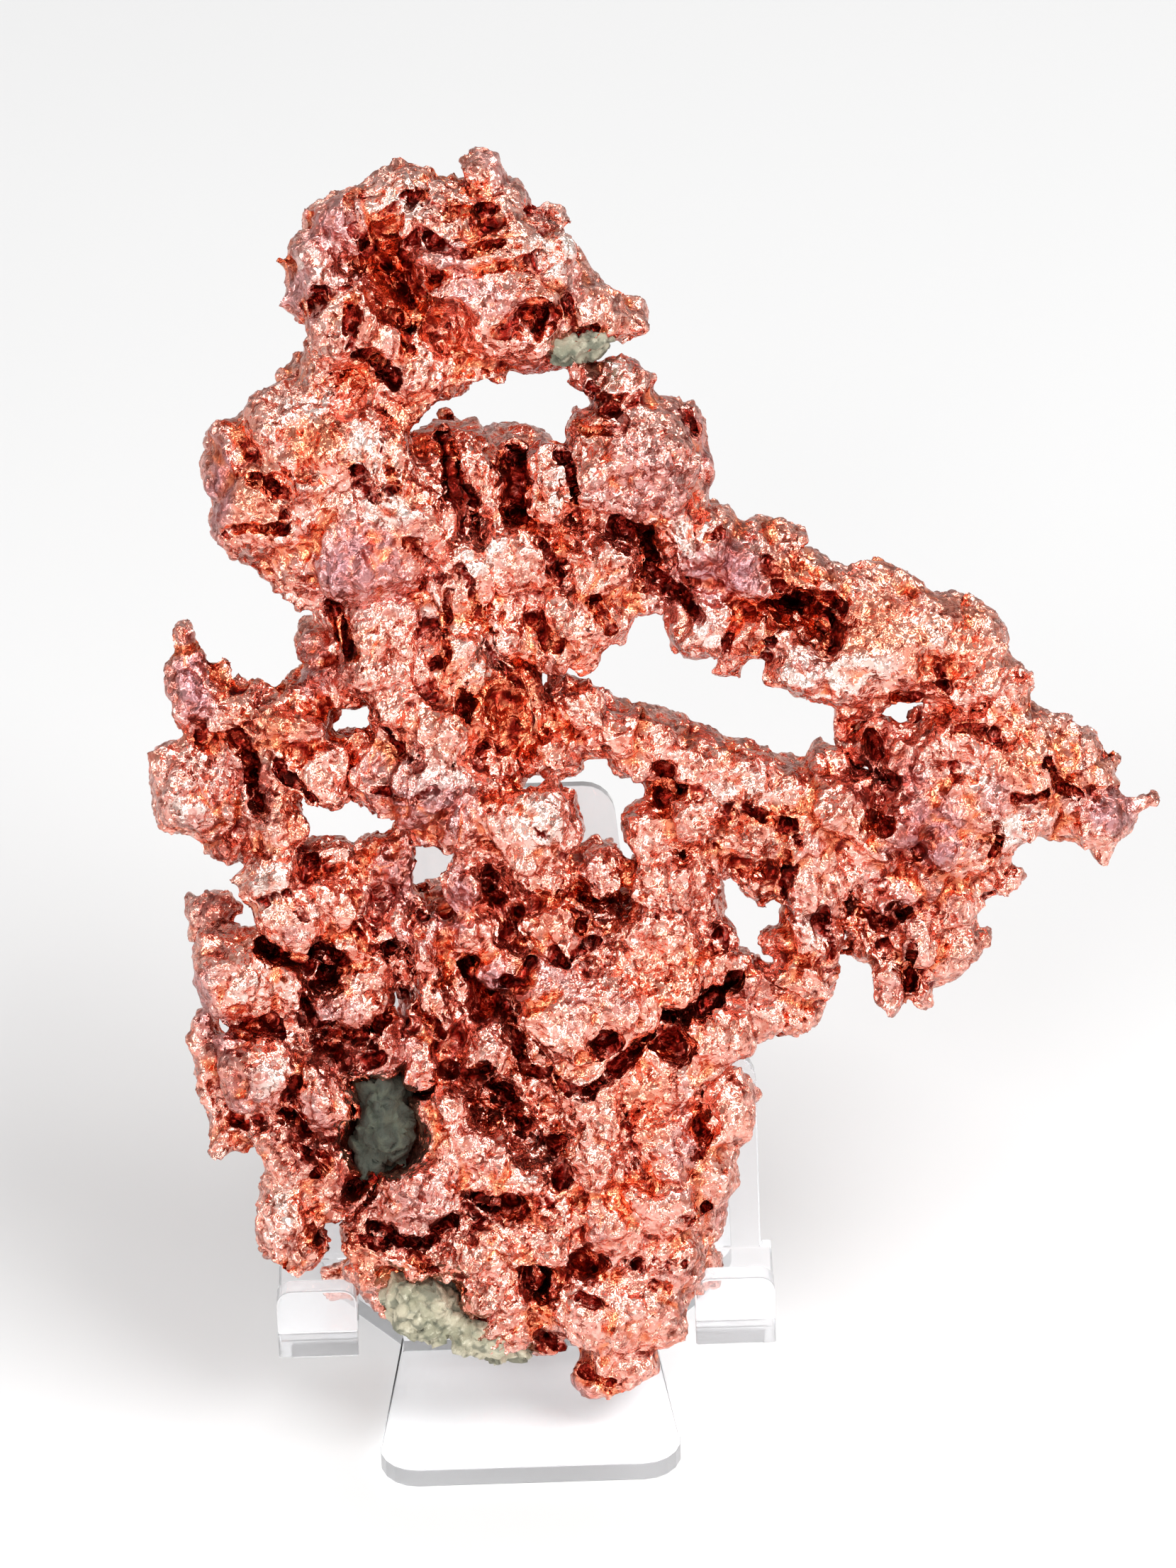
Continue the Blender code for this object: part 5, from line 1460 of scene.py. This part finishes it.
def studio_world():
    """Soft room light: palest at the horizon and greyer overhead."""
    world = bpy.data.worlds.new("studio")
    bpy.context.scene.world = world
    world.use_nodes = True
    tree = world.node_tree
    ground = tree.nodes["Background"]
    place = tree.nodes.new("ShaderNodeTexCoord").outputs["Generated"]
    split = add(tree, "ShaderNodeSeparateXYZ", None, Vector=place)
    level = span(tree, split.outputs["Z"], 0.05, 0.95)
    colour = mixed(tree, level, (0.78, 0.78, 0.78, 1.0), (0.50, 0.50, 0.50, 1.0))
    tree.links.new(colour, ground.inputs["Color"])


# The floor lies this far under the easel, so that the two faces don't coincide.
FLOOR_GAP = 0.0002


def floor_piece():
    """A wide pale floor that curves up far behind."""
    along = np.linspace(-2.5, 3.5, 60)
    across = np.linspace(-3.0, 3.0, 3)
    rise = np.maximum(along - 2.0, 0.0) ** 2 * 0.8 - FLOOR_GAP
    y, x = np.meshgrid(along, across, indexing="ij")
    points = np.stack([x, y, np.repeat(rise[:, None], 3, axis=1)], axis=-1).reshape(-1, 3)
    i, j = np.meshgrid(np.arange(len(along) - 1), np.arange(2), indexing="ij")
    corner = i * 3 + j
    quads = np.stack([corner, corner + 1, corner + 4, corner + 3], axis=-1).reshape(-1, 4)
    made = mesh_object("floor", points, quads)
    made.data.shade_smooth()
    material = bpy.data.materials.new("pale_floor")
    material.use_nodes = True
    tree = material.node_tree
    shader = tree.nodes["Principled BSDF"]
    place = tree.nodes.new("ShaderNodeTexCoord").outputs["Object"]
    cloud = add(tree, "ShaderNodeTexNoise", None, Vector=place, Scale=3.0, Detail=2.0)
    colour = mixed(tree, cloud.outputs["Fac"], (0.73, 0.73, 0.73, 1.0), (0.77, 0.77, 0.77, 1.0))
    tree.links.new(colour, shader.inputs["Base Color"])
    shader.inputs["Roughness"].default_value = 0.6
    made.data.materials.append(material)


def camera_at(settings):
    """The photograph's camera: looking down, very slightly rolled, through a long lens."""
    pitch = math.radians(settings.pitch)
    roll = math.radians(SIDE_ROLL)
    aim = plane_matrix() @ Vector((AIM_U, AIM_V * LENGTH_UP, 0.0))
    forward = Vector((0.0, math.cos(pitch), -math.sin(pitch)))
    level_right = Vector((1.0, 0.0, 0.0))
    level_up = Vector((0.0, math.sin(pitch), math.cos(pitch)))
    right = level_right * math.cos(roll) - level_up * math.sin(roll)
    up = level_up * math.cos(roll) + level_right * math.sin(roll)
    lens = bpy.data.cameras.new("camera")
    lens.sensor_width = SENSOR_MM
    lens.lens = PIXELS_PER_MM * settings.distance / MM * SENSOR_MM / PHOTO_HEIGHT
    lens.clip_start = 0.01
    made = bpy.data.objects.new("camera", lens)
    bpy.context.scene.collection.objects.link(made)
    turn = Matrix((right, up, -forward)).transposed().to_4x4()
    made.matrix_world = Matrix.Translation(aim - forward * settings.distance) @ turn
    bpy.context.scene.camera = made


class SPECIMEN_OT_copper(bpy.types.Operator):
    """Build every branch of the copper"""

    bl_idname = "specimen.copper"
    bl_label = "Copper branches"

    def execute(self, context):
        settings = context.scene.specimen_copper
        material = copper_material(settings)
        for branch, lumps in LUMPS.items():
            finish_piece(copper_mesh(branch, lumps, settings), branch, material)
        return {"FINISHED"}


class SPECIMEN_OT_rock(bpy.types.Operator):
    """Build the host rock held in the copper"""

    bl_idname = "specimen.rock"
    bl_label = "Host rock"

    def execute(self, context):
        material = rock_material(context.scene.specimen_rock)
        for name, lumps in ROCKS.items():
            finish_piece(rock_mesh(name, lumps), name, material)
        return {"FINISHED"}


class SPECIMEN_OT_easel(bpy.types.Operator):
    """Build the clear easel"""

    bl_idname = "specimen.easel"
    bl_label = "Clear easel"

    def execute(self, context):
        made = clear_piece("easel")
        edge = made.modifiers.new("edges", "BEVEL")
        edge.width = context.scene.specimen_easel.edge
        edge.segments = 2
        edge.limit_method = "ANGLE"
        made.data.materials.clear()
        made.data.materials.append(acrylic_material())
        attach(made, "root")
        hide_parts("easel")
        return {"FINISHED"}


class SPECIMEN_OT_stage(bpy.types.Operator):
    """Set the floor, lights and camera"""

    bl_idname = "specimen.stage"
    bl_label = "Floor, lights and camera"

    def execute(self, context):
        settings = context.scene.specimen_stage
        floor_piece()
        studio_world()
        for name, place, width, height, radiance in PANELS:
            soft_panel(name, place, LIGHT_AIM, width, height, radiance * settings.key)
        camera_at(settings)
        context.scene.view_settings.view_transform = "Standard"
        return {"FINISHED"}


class SPECIMEN_PT_panel(bpy.types.Panel):
    """Lists the specimen's makers"""

    bl_label = "Native copper"
    bl_idname = "SPECIMEN_PT_panel"
    bl_space_type = "VIEW_3D"
    bl_region_type = "UI"
    bl_category = "Specimen"

    def draw(self, context):
        for operator in OPERATORS:
            self.layout.operator(operator.bl_idname)


SETTINGS = {
    "specimen_copper": CopperSettings,
    "specimen_rock": RockSettings,
    "specimen_easel": EaselSettings,
    "specimen_stage": StageSettings,
}
OPERATORS = (SPECIMEN_OT_copper, SPECIMEN_OT_rock, SPECIMEN_OT_easel, SPECIMEN_OT_stage)


def register():
    """Register the settings, the operators and the panel."""
    for name, group in SETTINGS.items():
        bpy.utils.register_class(group)
        setattr(bpy.types.Scene, name, bpy.props.PointerProperty(type=group))
    for operator in OPERATORS:
        bpy.utils.register_class(operator)
    bpy.utils.register_class(SPECIMEN_PT_panel)


def unregister():
    """Undo register."""
    bpy.utils.unregister_class(SPECIMEN_PT_panel)
    for operator in reversed(OPERATORS):
        bpy.utils.unregister_class(operator)
    for name, group in SETTINGS.items():
        delattr(bpy.types.Scene, name)
        bpy.utils.unregister_class(group)


def main():
    """Build everything."""
    register()
    bpy.ops.specimen.copper()
    bpy.ops.specimen.rock()
    bpy.ops.specimen.easel()
    bpy.ops.specimen.stage()


if __name__ == "__main__":
    main()
